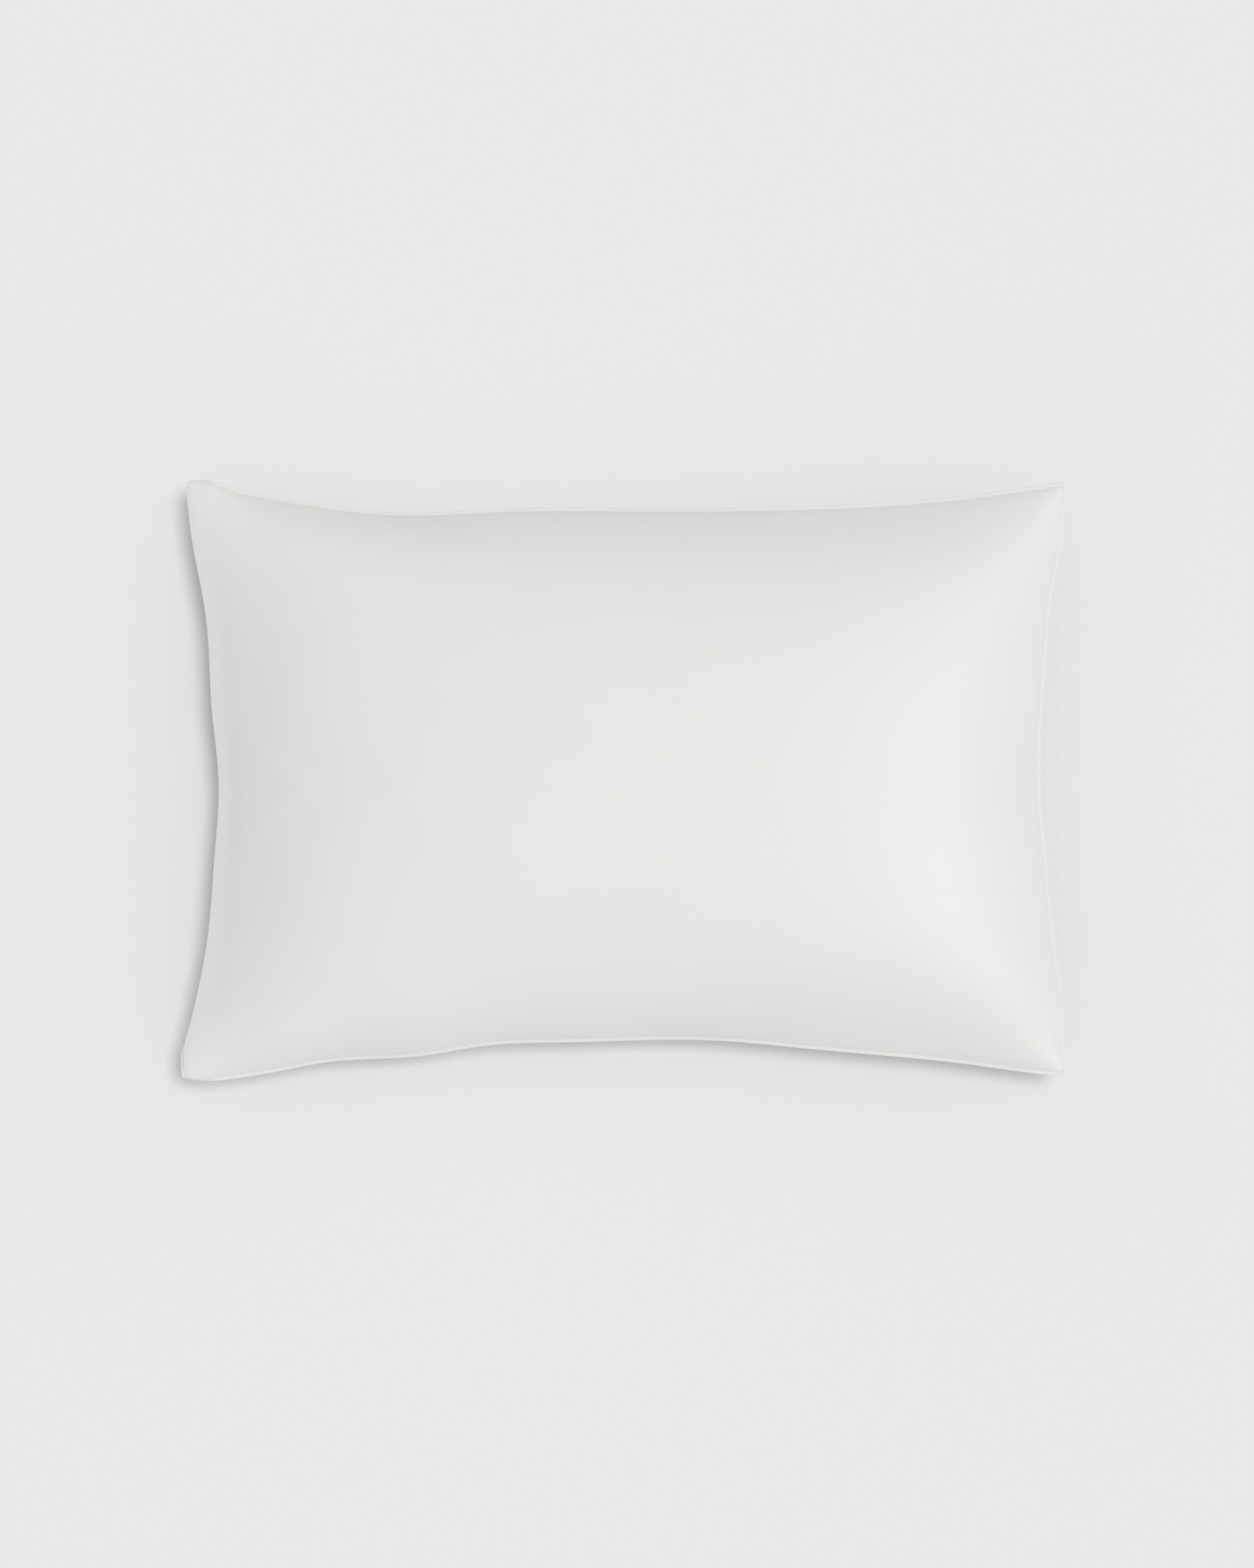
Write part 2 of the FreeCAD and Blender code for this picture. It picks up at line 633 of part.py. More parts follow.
def zip_slider():
    """Slider: two plates with rims, the wedge that parts the coils, and a neck through the slit
    that carries the pull's pin."""
    front_end = "-dimensions.zip_reach - 2 / 3 * dimensions.slider_length"
    rear_end = "-dimensions.zip_reach + dimensions.slider_length / 3"
    half = "dimensions.slider_half_height"
    pieces = []
    for name, near, far in (("outer", "-{0}", "-{1}"), ("inner", "{1}", "{0}")):
        low = near.format("dimensions.plate_outside", "dimensions.plate_inside")
        high = far.format("dimensions.plate_outside", "dimensions.plate_inside")
        pieces.append(ring(f"{name}_plate", low, high, f"-{half}", half, front_end, rear_end))
        low = near.format("dimensions.plate_inside", "dimensions.flange_inside")
        high = far.format("dimensions.plate_inside", "dimensions.flange_inside")
        for side in ("front", "back"):
            pieces.append(mirrored_ring(
                f"{name}_rim_{side}", side, low, high, f"{half} - dimensions.flange_height", half,
                front_end, rear_end,
            ))
    wedge = "dimensions.wedge_half_height"
    pieces.append(ring(
        "wedge", "-dimensions.plate_inside - dimensions.plate_bite",
        "dimensions.plate_inside + dimensions.plate_bite", f"-{wedge}", wedge,
        f"{front_end} + dimensions.wedge_inset",
        f"{front_end} + dimensions.wedge_inset + dimensions.wedge_length",
    ))
    neck = "dimensions.neck_half_height"
    pieces.append(ring(
        "neck", "-dimensions.pin_reach", "-dimensions.plate_inside - dimensions.plate_bite",
        f"-{neck}", neck,
        f"{PIN_Y} - dimensions.neck_length / 2", f"{PIN_Y} + dimensions.neck_length / 2",
    ))
    pieces.append(block_at_pin("pin", "dimensions.pin_radius", "-dimensions.pin_drop", neck))
    pieces.append(block_at_pin(
        "pin_head", "dimensions.barrel_radius",
        "-dimensions.pin_drop - dimensions.pin_head", "-dimensions.pin_drop",
    ))
    keep(fuse("zip_slider_body", pieces))


def zip_pull():
    """Upright tab that hangs on the pin by a barrel, with a rounded tip and an eye in it."""
    tab = doc.addObject("Part::Box", "tab")
    bind(
        tab,
        Length="dimensions.pull_thickness",
        Width="dimensions.pull_length - dimensions.pull_height / 2",
        Height="dimensions.pull_height",
        Placement__Base__x="-dimensions.pull_thickness / 2",
    )
    barrel = doc.addObject("Part::Cylinder", "barrel")
    bind(barrel, Radius="dimensions.barrel_radius", Height="dimensions.pull_height")
    bore = doc.addObject("Part::Cylinder", "barrel_bore")
    bind(bore, Radius="dimensions.pin_radius + dimensions.pin_play", Height="dimensions.pull_height")
    rounds = []
    for name, radius in (("tip", "dimensions.pull_height / 2"), ("eye", "dimensions.pull_height / 4")):
        disc = doc.addObject("Part::Cylinder", name)
        disc.Placement.Rotation = FreeCAD.Rotation(Vector(0, 1, 0), 90)
        bind(
            disc,
            Radius=radius,
            Height="dimensions.pull_thickness",
            Placement__Base__x="-dimensions.pull_thickness / 2",
            Placement__Base__y="dimensions.pull_length - dimensions.pull_height / 2",
            Placement__Base__z="dimensions.pull_height / 2",
        )
        rounds.append(disc)
    tip, eye = rounds
    pull = cut("zip_slider_pull", fuse("pull_blank", [tab, barrel, tip]), fuse("pull_holes", [bore, eye]))
    reach = f"({COIL_RADIUS} - dimensions.pin_reach)"
    bind(
        pull,
        Placement__Base__x=f"{AXIS_X} + sqrt({reach} ^ 2 - {PIN_Y} ^ 2)",
        Placement__Base__y=PIN_Y,
        Placement__Base__z=f"{COIL_LEVEL} - dimensions.barrel_top - dimensions.pull_height",
        Placement__Rotation__Angle=PIN_ANGLE,
    )
    keep(pull)


# ---------------------------------------------------------------- check and write

def write_parts():
    doc.recompute()
    for item in doc.Objects:
        if "Invalid" in item.State or "Error" in item.State:
            raise RuntimeError(f"{item.Name} did not build: {item.State}")
    os.makedirs("parts", exist_ok=True)
    for name, item in sorted(nodes.items()):
        shape = item.Shape
        if shape.isNull() or not shape.isValid() or shape.Volume <= 0 or not shape.Solids:
            raise RuntimeError(f"{name} has no valid solid")
        box = shape.optimalBoundingBox()
        extent = [round(value, 2) for value in (box.XMin, box.XMax, box.YMin, box.YMax, box.ZMin, box.ZMax)]
        print(f"{name}: {len(shape.Solids)} solids, {shape.Volume:.1f} mm3, {extent}")
        shape.exportStep(f"parts/{name}.step")


case_cavity = case_panels()
case_threads()
ticking_inset = insert()
piping_tube = piping(ticking_inset)
care_labels(case_cavity, piping_tube)
zip_chain(case_cavity)
zip_stops()
zip_slider()
zip_pull()
write_parts()
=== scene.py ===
"""Bed pillow: satin pillowcase with a concealed zip, over a stuffed and piped insert.

Metres, +Z up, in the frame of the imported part.  The pillow lies on its back panel, with the
zipped short end at -X.  Every soft layer is a grid over (u, v), which run from -1 to 1 along the
pillow and across it, so an inner layer is the case's own shape, drawn in.
"""

import json
import math

import bpy
import numpy as np
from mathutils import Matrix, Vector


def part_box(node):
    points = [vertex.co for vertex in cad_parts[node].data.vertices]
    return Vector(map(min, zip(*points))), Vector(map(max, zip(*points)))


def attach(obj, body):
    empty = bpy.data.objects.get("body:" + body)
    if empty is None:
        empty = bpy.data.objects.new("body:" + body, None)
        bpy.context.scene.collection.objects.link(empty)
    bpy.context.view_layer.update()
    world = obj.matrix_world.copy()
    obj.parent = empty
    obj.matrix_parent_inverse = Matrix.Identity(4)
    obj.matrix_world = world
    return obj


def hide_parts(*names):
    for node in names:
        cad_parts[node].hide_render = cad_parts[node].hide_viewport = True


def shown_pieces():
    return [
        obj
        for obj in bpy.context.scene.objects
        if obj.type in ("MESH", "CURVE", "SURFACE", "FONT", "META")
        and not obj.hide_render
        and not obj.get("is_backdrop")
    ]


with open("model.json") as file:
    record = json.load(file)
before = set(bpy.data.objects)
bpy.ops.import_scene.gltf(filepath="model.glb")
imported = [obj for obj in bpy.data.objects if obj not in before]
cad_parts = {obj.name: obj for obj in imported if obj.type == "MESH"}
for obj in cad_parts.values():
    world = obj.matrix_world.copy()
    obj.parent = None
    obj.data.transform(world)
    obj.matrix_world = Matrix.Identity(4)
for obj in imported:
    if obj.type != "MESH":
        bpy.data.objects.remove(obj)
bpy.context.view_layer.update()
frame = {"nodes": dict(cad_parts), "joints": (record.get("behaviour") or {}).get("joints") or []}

MM = 0.001
BODY = "pillow"

# ---------------------------------------------------------------- sizes, from the frame

panel_low, panel_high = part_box("case_front_panel")
SEAM, TOP = panel_low.z, panel_high.z
HALF_X, HALF_Y = 371.5 * MM, 251 * MM  # corner to corner of the case, before its corners are rounded
travel = next(joint for joint in frame["joints"] if joint["name"] == "slider_travel")
AXIS_X, ZIP_LEVEL = travel["pos_m"][0], travel["pos_m"][2]
coil_low, coil_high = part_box("zip_coil_front")
COIL_RADIUS = coil_high.x - AXIS_X - 0.8 * MM
ZIP_SETBACK = 15 * MM  # coil's centre line behind the zipped edge
EDGE_RADIUS = COIL_RADIUS - ZIP_SETBACK
SLIT_REACH = 209 * MM  # half the length of the slit

RIB_WIDTH = 3.3 * MM
RIB_START = (18 * MM, 27 * MM)  # the rib fades in over this stretch beside the zipped end's corners
RIB_CUT = 16 * MM  # the rib's own line begins here, just before it fades in
RIB_GROOVE = 1.65 * MM  # its stitched groove, inside its outer edge
CLOTH = 0.35 * MM
STITCH = 3 * MM  # stitch pitch
STITCH_LENGTH = 2.2 * MM
LENGTH_FULLNESS = 2.6  # flatness of the crown along the pillow: 2 is a plain arch
WIDTH_FULLNESS = 2.3  # the same across it
CORNER_RADIUS = 4.5 * MM  # of the case's corners and the insert's
PANEL_START = RIB_WIDTH - 0.8 * MM  # how far the panels start inside the sewn edge


# ---------------------------------------------------------------- numbers and curves

def smooth_line(stations):
    """A smooth function through a few (place, value) stations."""
    at, value = np.array(stations, float).T
    slope = np.gradient(value, at)

    def curve(x):
        x = np.clip(x, at[0], at[-1])
        i = np.clip(np.searchsorted(at, x) - 1, 0, len(at) - 2)
        step = at[i + 1] - at[i]
        t = (x - at[i]) / step
        level = value[i] + (value[i + 1] - value[i]) * (3 * t**2 - 2 * t**3)
        return level + step * ((t**3 - 2 * t**2 + t) * slope[i] + (t**3 - t**2) * slope[i + 1])

    return curve


def smoothstep(x, low, high):
    t = np.clip((x - low) / (high - low), 0, 1)
    return t * t * (3 - 2 * t)


# How far each side of the case pulls in, in millimetres, along the side from -1 to 1.
REAR = smooth_line([
    (-1, 0), (-0.93, 0.5), (-0.87, 8), (-0.77, 15.5), (-0.58, 25.3), (-0.2, 23), (0.25, 23),
    (0.66, 16.5), (0.915, 5.3), (1, 0),
])
FRONT = smooth_line([
    (-1, -2), (-0.96, -3.4), (-0.84, 1.3), (-0.68, 12.3), (-0.47, 17.4), (-0.32, 26.3), (-0.1, 29.4),
    (0.22, 30.2), (0.42, 23.4), (0.744, 11.9), (0.95, 1.8), (1, 0),
])
CLOSED_END = smooth_line([
    (-1, 0), (-0.865, 2.6), (-0.738, 4), (-0.526, 11.2), (-0.25, 18), (0, 22.8), (0.33, 19),
    (0.65, 11.2), (0.82, 2.6), (1, 0),
])
ZIP_END = smooth_line([
    (-1, -1), (-0.905, -1.5), (-0.81, 4.6), (-0.55, 18), (-0.28, 24), (-0.03, 28), (0.25, 21.8),
    (0.52, 17.8), (0.86, 3.3), (1, 0),
])


def zip_arc(y):
    """X of the zipped edge's true arc, which the slider follows."""
    return AXIS_X + np.sqrt(EDGE_RADIUS**2 - y**2)


def rib_share(x):
    """0 where there is no rib, beside the zipped end, and 1 where it is whole."""
    return smoothstep(x + HALF_X, *RIB_START)


class Sides:
    """How far each side pulls in, in metres, for one layer of the case."""

    def __init__(self, zip_end, rib_cover):
        self.zip_end, self.rib_cover = zip_end, rib_cover

    def pull_x(self, u, y):
        v = y / HALF_Y
        closed = CLOSED_END(v) * MM + self.rib_cover
        return self.zip_end(v) * (1 - u) / 2 - closed * (1 + u) / 2

    def pull_y(self, v, x):
        u = x / HALF_X
        cover = self.rib_cover * rib_share(x)
        front, rear = FRONT(u) * MM + cover, REAR(u) * MM + cover
        return front * (1 - v) / 2 - rear * (1 + v) / 2

    def plan(self, u, v):
        """Where (u, v) falls in plan."""
        x, y = u * HALF_X, v * HALF_Y
        for _ in range(5):  # each side's pull depends on the other coordinate
            x, y = u * HALF_X + self.pull_x(u, y), v * HALF_Y + self.pull_y(v, x)
        return x, y


def round_corners(u, v, x, y, radius):
    """Draws the four corners in, as if rounded."""
    away = (1 - np.abs(u)) * HALF_X + (1 - np.abs(v)) * HALF_Y
    pull = (math.sqrt(2) - 1) * radius * np.clip(1 - away / (2 * radius), 0, 1) ** 2 / math.sqrt(2)
    return x - np.sign(u) * pull, y - np.sign(v) * pull


SEAM_WANDER = 0.9 * MM


def seam_lift(x, y):
    """The seam isn't quite level: it wanders up and down, but not at the zip."""
    wander = np.sin(x / 0.043 + 1.3) * np.cos(y / 0.061 + 0.4) + 0.6 * np.sin(x / 0.019 + y / 0.024)
    return SEAM_WANDER * wander * smoothstep(x + HALF_X, 30 * MM, 90 * MM)


# ---------------------------------------------------------------- meshes

def grid_faces(rows, columns, loop_rows=False, loop_columns=False, flip=False, start=0):
    i = np.arange(rows if loop_rows else rows - 1)
    j = np.arange(columns if loop_columns else columns - 1)
    i, j = np.meshgrid(i, j, indexing="ij")
    i2, j2 = (i + 1) % rows, (j + 1) % columns
    quads = np.stack([i * columns + j, i2 * columns + j, i2 * columns + j2, i * columns + j2], -1)
    quads = quads.reshape(-1, 4) + start
    return quads[:, ::-1] if flip else quads


def piece_of(name, points, faces, material, stands_for=(), flat_map=None):
    """A new piece on the pillow.  flat_map gives each point's place on the cloth, in metres."""
    mesh = bpy.data.meshes.new(name)
    faces = faces.tolist() if isinstance(faces, np.ndarray) else faces
    mesh.from_pydata(np.asarray(points).reshape(-1, 3).tolist(), [], faces)
    if flat_map is not None:
        layer = mesh.uv_layers.new(name="cloth")
        corner = np.zeros(len(mesh.loops), np.int32)
        mesh.loops.foreach_get("vertex_index", corner)
        layer.data.foreach_set("uv", flat_map.reshape(-1, 2)[corner].astype(np.float32).ravel())
    mesh.shade_smooth()
    mesh.materials.append(material)
    item = bpy.data.objects.new(name, mesh)
    bpy.context.scene.collection.objects.link(item)
    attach(item, BODY)
    if stands_for:
        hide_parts(*stands_for)
    return item


def thicken(item, thickness, outward=-1.0):
    solid = item.modifiers.new("thickness", "SOLIDIFY")
    solid.thickness, solid.offset = thickness, outward
    return item


def subdivide(item):
    levels = item.modifiers.new("smooth", "SUBSURF")
    levels.levels = levels.render_levels = 1
    levels.boundary_smooth = "PRESERVE_CORNERS"
    return item


def resample(line, step):
    """The same line with points a step apart."""
    lengths = np.linalg.norm(np.diff(line, axis=0), axis=1)
    along = np.concatenate([[0], np.cumsum(lengths)])
    at = np.linspace(0, along[-1], int(round(along[-1] / step)) + 1)
    return np.stack([np.interp(at, along, line[:, k]) for k in range(line.shape[1])], 1)


def soften(line, step, reach):
    """Gaussian smoothing along an open line, which also rounds its corners; its ends stay put."""
    half = int(3 * reach / step)
    weight = np.exp(-0.5 * (np.arange(-half, half + 1) * step / reach) ** 2)
    weight /= weight.sum()
    before = 2 * line[0] - line[half:0:-1]
    after = 2 * line[-1] - line[-2:-half - 2:-1]
    padded = np.concatenate([before, line, after])
    return np.stack([np.convolve(padded[:, k], weight, "valid") for k in range(line.shape[1])], 1)


def outward_of(line, closed=False):
    """Unit vectors in plan, to the left of the line's direction."""
    ahead = np.roll(line, -1, 0) - np.roll(line, 1, 0) if closed else np.gradient(line, axis=0)
    side = np.stack([-ahead[:, 1], ahead[:, 0], np.zeros(len(line))], 1)
    return side / np.linalg.norm(side, axis=1)[:, None]


def sweep(line, section, closed=False):
    """Points (along, round, xyz) of a section carried along a line.  The section's points are
    (sideways, up), one set for all or one set for each point of the line."""
    side = outward_of(line, closed)
    section = np.broadcast_to(section, (len(line),) + np.shape(section)[-2:])
    up = np.array([0, 0, 1.0])
    return line[:, None] + section[..., :1] * side[:, None] + section[..., 1:] * up


def capped_sweep(name, line, section, material, stands_for=()):
    rings = sweep(line, section)
    rows, columns = rings.shape[:2]
    faces = grid_faces(rows, columns, loop_columns=True).tolist()
    faces.append(list(range(columns)))
    faces.append([(rows - 1) * columns + k for k in range(columns)][::-1])
    return piece_of(name, rings, faces, material, stands_for)


# ---------------------------------------------------------------- materials

class Nodes:
    """A Principled material and short calls for the nodes that feed it."""

    def __init__(self, name, **values):
        self.material = bpy.data.materials.new(name)
        self.material.use_nodes = True
        self.tree = self.material.node_tree
        self.shader = self.tree.nodes["Principled BSDF"]
        for socket, value in values.items():
            self.shader.inputs[socket.replace("_", " ")].default_value = value

    def add(self, kind, links=None, **values):
        node = self.tree.nodes.new(kind)
        for key, value in values.items():
            if hasattr(node, key):
                setattr(node, key, value)
            else:
                node.inputs[key.replace("_", " ")].default_value = value
        for socket, source in (links or {}).items():
            self.tree.links.new(source, node.inputs[socket])
        return node

    def cloth_map(self):
        return self.add("ShaderNodeUVMap", uv_map="cloth").outputs["UV"]

    def place(self):
        return self.add("ShaderNodeTexCoord").outputs["Object"]

    def stretched(self, source, scale):
        node = self.add("ShaderNodeMapping", {"Vector": source})
        node.inputs["Scale"].default_value = scale
        return node.outputs["Vector"]

    def noise(self, source, scale, detail=2.0):
        node = self.add("ShaderNodeTexNoise", {"Vector": source}, Scale=scale, Detail=detail)
        return node.outputs["Fac"]

    def waves(self, source, direction, pitch):
        node = self.add("ShaderNodeTexWave", {"Vector": source}, bands_direction=direction)
        node.inputs["Scale"].default_value = math.pi / (10 * pitch)
        return node.outputs["Fac"]

    def sum_of(self, *weighted):
        total = None
        for source, weight in weighted:
            links = {0: source} if total is None else {0: source, 2: total}
            node = self.add("ShaderNodeMath", links, operation="MULTIPLY_ADD")
            node.inputs[1].default_value = weight
            if total is None:
                node.inputs[2].default_value = 0
            total = node.outputs[0]
        return total

    def colour_between(self, source, low, high):
        node = self.add("ShaderNodeMix", {"Factor": source}, data_type="RGBA")
        node.inputs["A"].default_value, node.inputs["B"].default_value = low, high
        self.tree.links.new(node.outputs["Result"], self.shader.inputs["Base Color"])

    def roughness_between(self, source, low, high):
        node = self.add("ShaderNodeMapRange", {"Value": source})
        node.inputs["To Min"].default_value, node.inputs["To Max"].default_value = low, high
        self.tree.links.new(node.outputs["Result"], self.shader.inputs["Roughness"])

    def bump(self, height, distance, strength=1.0):
        node = self.add("ShaderNodeBump", {"Height": height}, Distance=distance, Strength=strength)
        self.tree.links.new(node.outputs["Normal"], self.shader.inputs["Normal"])


def grey(level, warmth=0.0):
    return (level, level * (1 - 0.35 * warmth), level * (1 - warmth), 1)


def satin():
    """Silk satin: long floats along the weft, a soft sheen, slubs that barely show."""
    nodes = Nodes("satin", Roughness=0.42, Sheen_Weight=0.25, Sheen_Roughness=0.35)
    cloth = nodes.cloth_map()
    slub = nodes.noise(nodes.stretched(cloth, (60, 900, 1)), 1.0)
    drift = nodes.noise(cloth, 9.0)
    warp = nodes.waves(cloth, "X", 0.42 * MM)
    weft = nodes.waves(cloth, "Y", 0.30 * MM)
    shade = nodes.sum_of((slub, 0.5), (drift, 0.5))
    nodes.colour_between(shade, grey(0.745, 0.03), grey(0.785, 0.03))
    nodes.roughness_between(shade, 0.38, 0.47)
    nodes.bump(nodes.sum_of((warp, 0.25), (weft, 0.35), (slub, 0.4)), 0.03 * MM, 0.35)
    return nodes.material


def percale(name, level, pitch):
    """Plain weave: warp and weft of one size."""
    nodes = Nodes(name, Roughness=0.8, Sheen_Weight=0.1)
    cloth = nodes.place()
    drift = nodes.noise(cloth, 14.0)
    nodes.colour_between(drift, grey(level, 0.02), grey(level * 1.04, 0.01))
    weave = nodes.sum_of(
        (nodes.waves(cloth, "X", pitch), 0.4), (nodes.waves(cloth, "Y", pitch), 0.4), (drift, 0.2)
    )
    nodes.bump(weave, 0.05 * MM, 0.5)
    return nodes.material


def thread_material():
    """Spun thread: plies that twist round it, under a slight lustre."""
    nodes = Nodes("thread", Roughness=0.5, Sheen_Weight=0.3)
    place = nodes.place()
    plies = nodes.waves(place, "DIAGONAL", 0.25 * MM)
    nodes.colour_between(plies, grey(0.78, 0.03), grey(0.86, 0.03))
    nodes.bump(plies, 0.04 * MM, 0.6)
    return nodes.material


def fibre_material():
    """Carded fibre: matted, with clumps and stray strands."""
    nodes = Nodes("fibre", Roughness=0.95, Sheen_Weight=0.5)
    place = nodes.place()
    clumps = nodes.noise(place, 38.0, 6.0)
    strands = nodes.noise(nodes.stretched(place, (1500, 220, 600)), 1.0, 4.0)
    nodes.colour_between(clumps, grey(0.84), grey(0.92))
    nodes.bump(nodes.sum_of((clumps, 0.6), (strands, 0.4)), 0.8 * MM, 0.7)
    return nodes.material


def tape_material():
    """Twill tape: fine diagonal ribs."""
    nodes = Nodes("zip_tape", Roughness=0.75, Sheen_Weight=0.15)
    place = nodes.place()
    twill = nodes.waves(place, "DIAGONAL", 0.6 * MM)
    drift = nodes.noise(place, 60.0)
    nodes.colour_between(drift, grey(0.76, 0.03), grey(0.82, 0.03))
    nodes.bump(nodes.sum_of((twill, 0.7), (drift, 0.3)), 0.08 * MM, 0.6)
    return nodes.material


def coil_material():
    nodes = Nodes("zip_coil", Roughness=0.35, Subsurface_Weight=0.1, Subsurface_Radius=(MM, MM, MM))
    drift = nodes.noise(nodes.place(), 300.0)
    nodes.colour_between(drift, grey(0.76, 0.04), grey(0.80, 0.04))
    nodes.roughness_between(drift, 0.28, 0.42)
    return nodes.material


def enamel():
    """Ivory enamel over die-cast zinc: a slight orange peel, duller where fingers rub."""
    nodes = Nodes("zip_enamel", Coat_Weight=0.4, Coat_Roughness=0.15)
    place = nodes.place()
    peel, rub = nodes.noise(place, 2600.0), nodes.noise(place, 240.0)
    nodes.colour_between(rub, grey(0.70, 0.05), grey(0.76, 0.05))
    nodes.roughness_between(rub, 0.25, 0.5)
    nodes.bump(peel, 0.01 * MM, 0.4)
    return nodes.material


def pressed_metal():
    nodes = Nodes("stop_metal", Metallic=1.0)
    place = nodes.place()
    grain = nodes.noise(nodes.stretched(place, (900, 9000, 900)), 1.0)
    nodes.colour_between(grain, grey(0.62), grey(0.70))
    nodes.roughness_between(grain, 0.3, 0.5)
    nodes.bump(grain, 0.01 * MM, 0.4)
    return nodes.material


def floor_material():
    return Nodes("floor", Roughness=1.0, Specular_IOR_Level=0.0, Base_Color=grey(0.80)).material


SATIN, THREAD, LABEL = satin(), thread_material(), percale("label_ribbon", 0.84, 0.25 * MM)
TICKING, PIPING_CLOTH = percale("ticking", 0.82, 0.4 * MM), percale("piping", 0.80, 0.4 * MM)
FIBRE, TAPE, COIL = fibre_material(), tape_material(), coil_material()
ENAMEL, METAL = enamel(), pressed_metal()


# ---------------------------------------------------------------- pillowcase: shape

CELLS_X, CELLS_Y = 118, 80
EDGE_CROWDING = 0.7  # how much finer the grid is beside the seam
s, t = np.linspace(-1, 1, CELLS_X + 1), np.linspace(-1, 1, CELLS_Y + 1)
LINE_U = (1 - EDGE_CROWDING) * s + EDGE_CROWDING * np.sin(s * np.pi / 2)
LINE_V = (1 - EDGE_CROWDING) * t + EDGE_CROWDING * np.sin(t * np.pi / 2)
U, V = np.meshgrid(LINE_U, LINE_V, indexing="ij")
FROM_SEAM = np.minimum((1 - np.abs(U)) * HALF_X, (1 - np.abs(V)) * HALF_Y)  # on the flat case

FOLD = 1.05 * MM  # radius of the folds at the zipped end


def corner_share(v):
    """1 along the zipped end, falling at its two corners, where the folds run out."""
    return 0.25 + 0.75 * smoothstep((1 - np.abs(v)) * HALF_Y, 0, 14 * MM)


def slit_share(v):
    """1 where the slit is open and 0 beyond its ends."""
    return 1 - smoothstep(np.abs(v) * HALF_Y, SLIT_REACH + MM, SLIT_REACH + 16 * MM)


def front_zip_pull(v):
    """How far the front panel's zipped edge lies inside the straight line between its corners."""
    return ZIP_END(v) * MM


PULL_ROOM = 6 * MM  # between the front panel's edge and the back one's, along the slit


def back_zip_pull(v):
    """The same for the back panel, which lies behind the slider's pull and shows past the front
    panel at one corner."""
    behind = zip_arc(v * HALF_Y) + HALF_X + PULL_ROOM
    peek = 2.4 * MM * smoothstep(-v, 0.86, 0.93) - 0.8 * MM * smoothstep(v, 0.86, 0.95)
    beyond = ZIP_END(v) * MM - peek
    open_here = slit_share(v)
    return behind * open_here + beyond * (1 - open_here)


RIDGE = 0.8  # how clear a ridge runs in from each corner: 0 is none, 3 is a creased one
FULLNESS = 0.95  # how steeply the crown meets the seam: 0.5 is upright, 1 is a plain arch
ZIP_SLACK, SLACK_REACH = 0.5, 60 * MM  # share of height lost beside the zip, and how far in
SHOULDER_DROP, SHOULDER_RISE = 0.30, 0.16  # share lost towards the closed end, gained at the zip
SHOULDER_REACH = 45 * MM  # how far in from the long sides


def crown(u, v):
    """Height of the filled case, 0 at its seam and 1 in the middle.  The zipped end is slacker: the
    insert ends short of it, so the case spans from the fold to the insert's shoulder.  Along the two
    long sides the shoulder is slacker towards the closed end and fuller towards the zipped one."""
    along = np.clip(1 - np.abs(u) ** LENGTH_FULLNESS, 1e-6, 1)
    across = np.clip(1 - np.abs(v) ** WIDTH_FULLNESS, 1e-6, 1)
    sharpness = along ** (-RIDGE * FULLNESS) + across ** (-RIDGE * FULLNESS)
    full = (sharpness / 2) ** (-1 / RIDGE)
    slack = 1 - ZIP_SLACK * np.exp(-(((1 + u) * HALF_X / SLACK_REACH) ** 2))
    lost = SHOULDER_DROP * smoothstep(u, 0.0, 0.7) - SHOULDER_RISE * smoothstep(-u, 0.0, 0.6)
    shoulder = 1 - lost * np.exp(-(((1 - np.abs(v)) * HALF_Y / SHOULDER_REACH) ** 2))
    return full * slack * shoulder


def softly_above(z, floor, softness):
    """z, rounded off where it would drop below the floor."""
    return floor + ((z - floor) + np.sqrt((z - floor) ** 2 + softness**2)) / 2


EDGE_REACH = 9 * MM  # how fast that level fades
FRONT_EDGE = 2.25 * MM  # front panel's zipped edge above the seam
BACK_EDGE, SLIT_DROP = 0.1 * MM, 2.35 * MM  # back panel's edge below it, and the slit's addition
SWELL_ROOM = 1.5 * MM  # left under the CAD's top for the simulation


def edge_level(u, v, level):
    """A panel's level at the zipped end, which fades out away from it."""
    return level * np.exp(-(1 + u) * HALF_X / EDGE_REACH) * corner_share(v)


def front_points():
    sides = Sides(lambda v: front_zip_pull(v) + FOLD * corner_share(v), PANEL_START)
    x, y = round_corners(U, V, *sides.plan(U, V), CORNER_RADIUS)
    shape = crown(U, V)
    z = SEAM + edge_level(U, V, FRONT_EDGE) + (TOP - SEAM - SWELL_ROOM) * shape
    return np.stack([x, y, z + seam_lift(x, y) * (1 - shape) ** 2], -1)


BELLY = 76 * MM  # depth the underside would have if nothing flattened it
REST_LEVEL, REST_SOFTNESS = 0.1 * MM, 7 * MM  # the flattened underside, and how gently it lifts off


def back_points():
    sides = Sides(lambda v: back_zip_pull(v) + FOLD * corner_share(v), PANEL_START)
    x, y = round_corners(U, V, *sides.plan(U, V), CORNER_RADIUS)
    shape = crown(U, V)
    level = -(BACK_EDGE + SLIT_DROP * slit_share(V)) - 2 * FOLD
    hanging = SEAM + edge_level(U, V, level) - BELLY * shape + seam_lift(x, y) * (1 - shape) ** 2
    return np.stack([x, y, softly_above(hanging, REST_LEVEL, REST_SOFTNESS)], -1)


# ---------------------------------------------------------------- pillowcase: cloth simulation

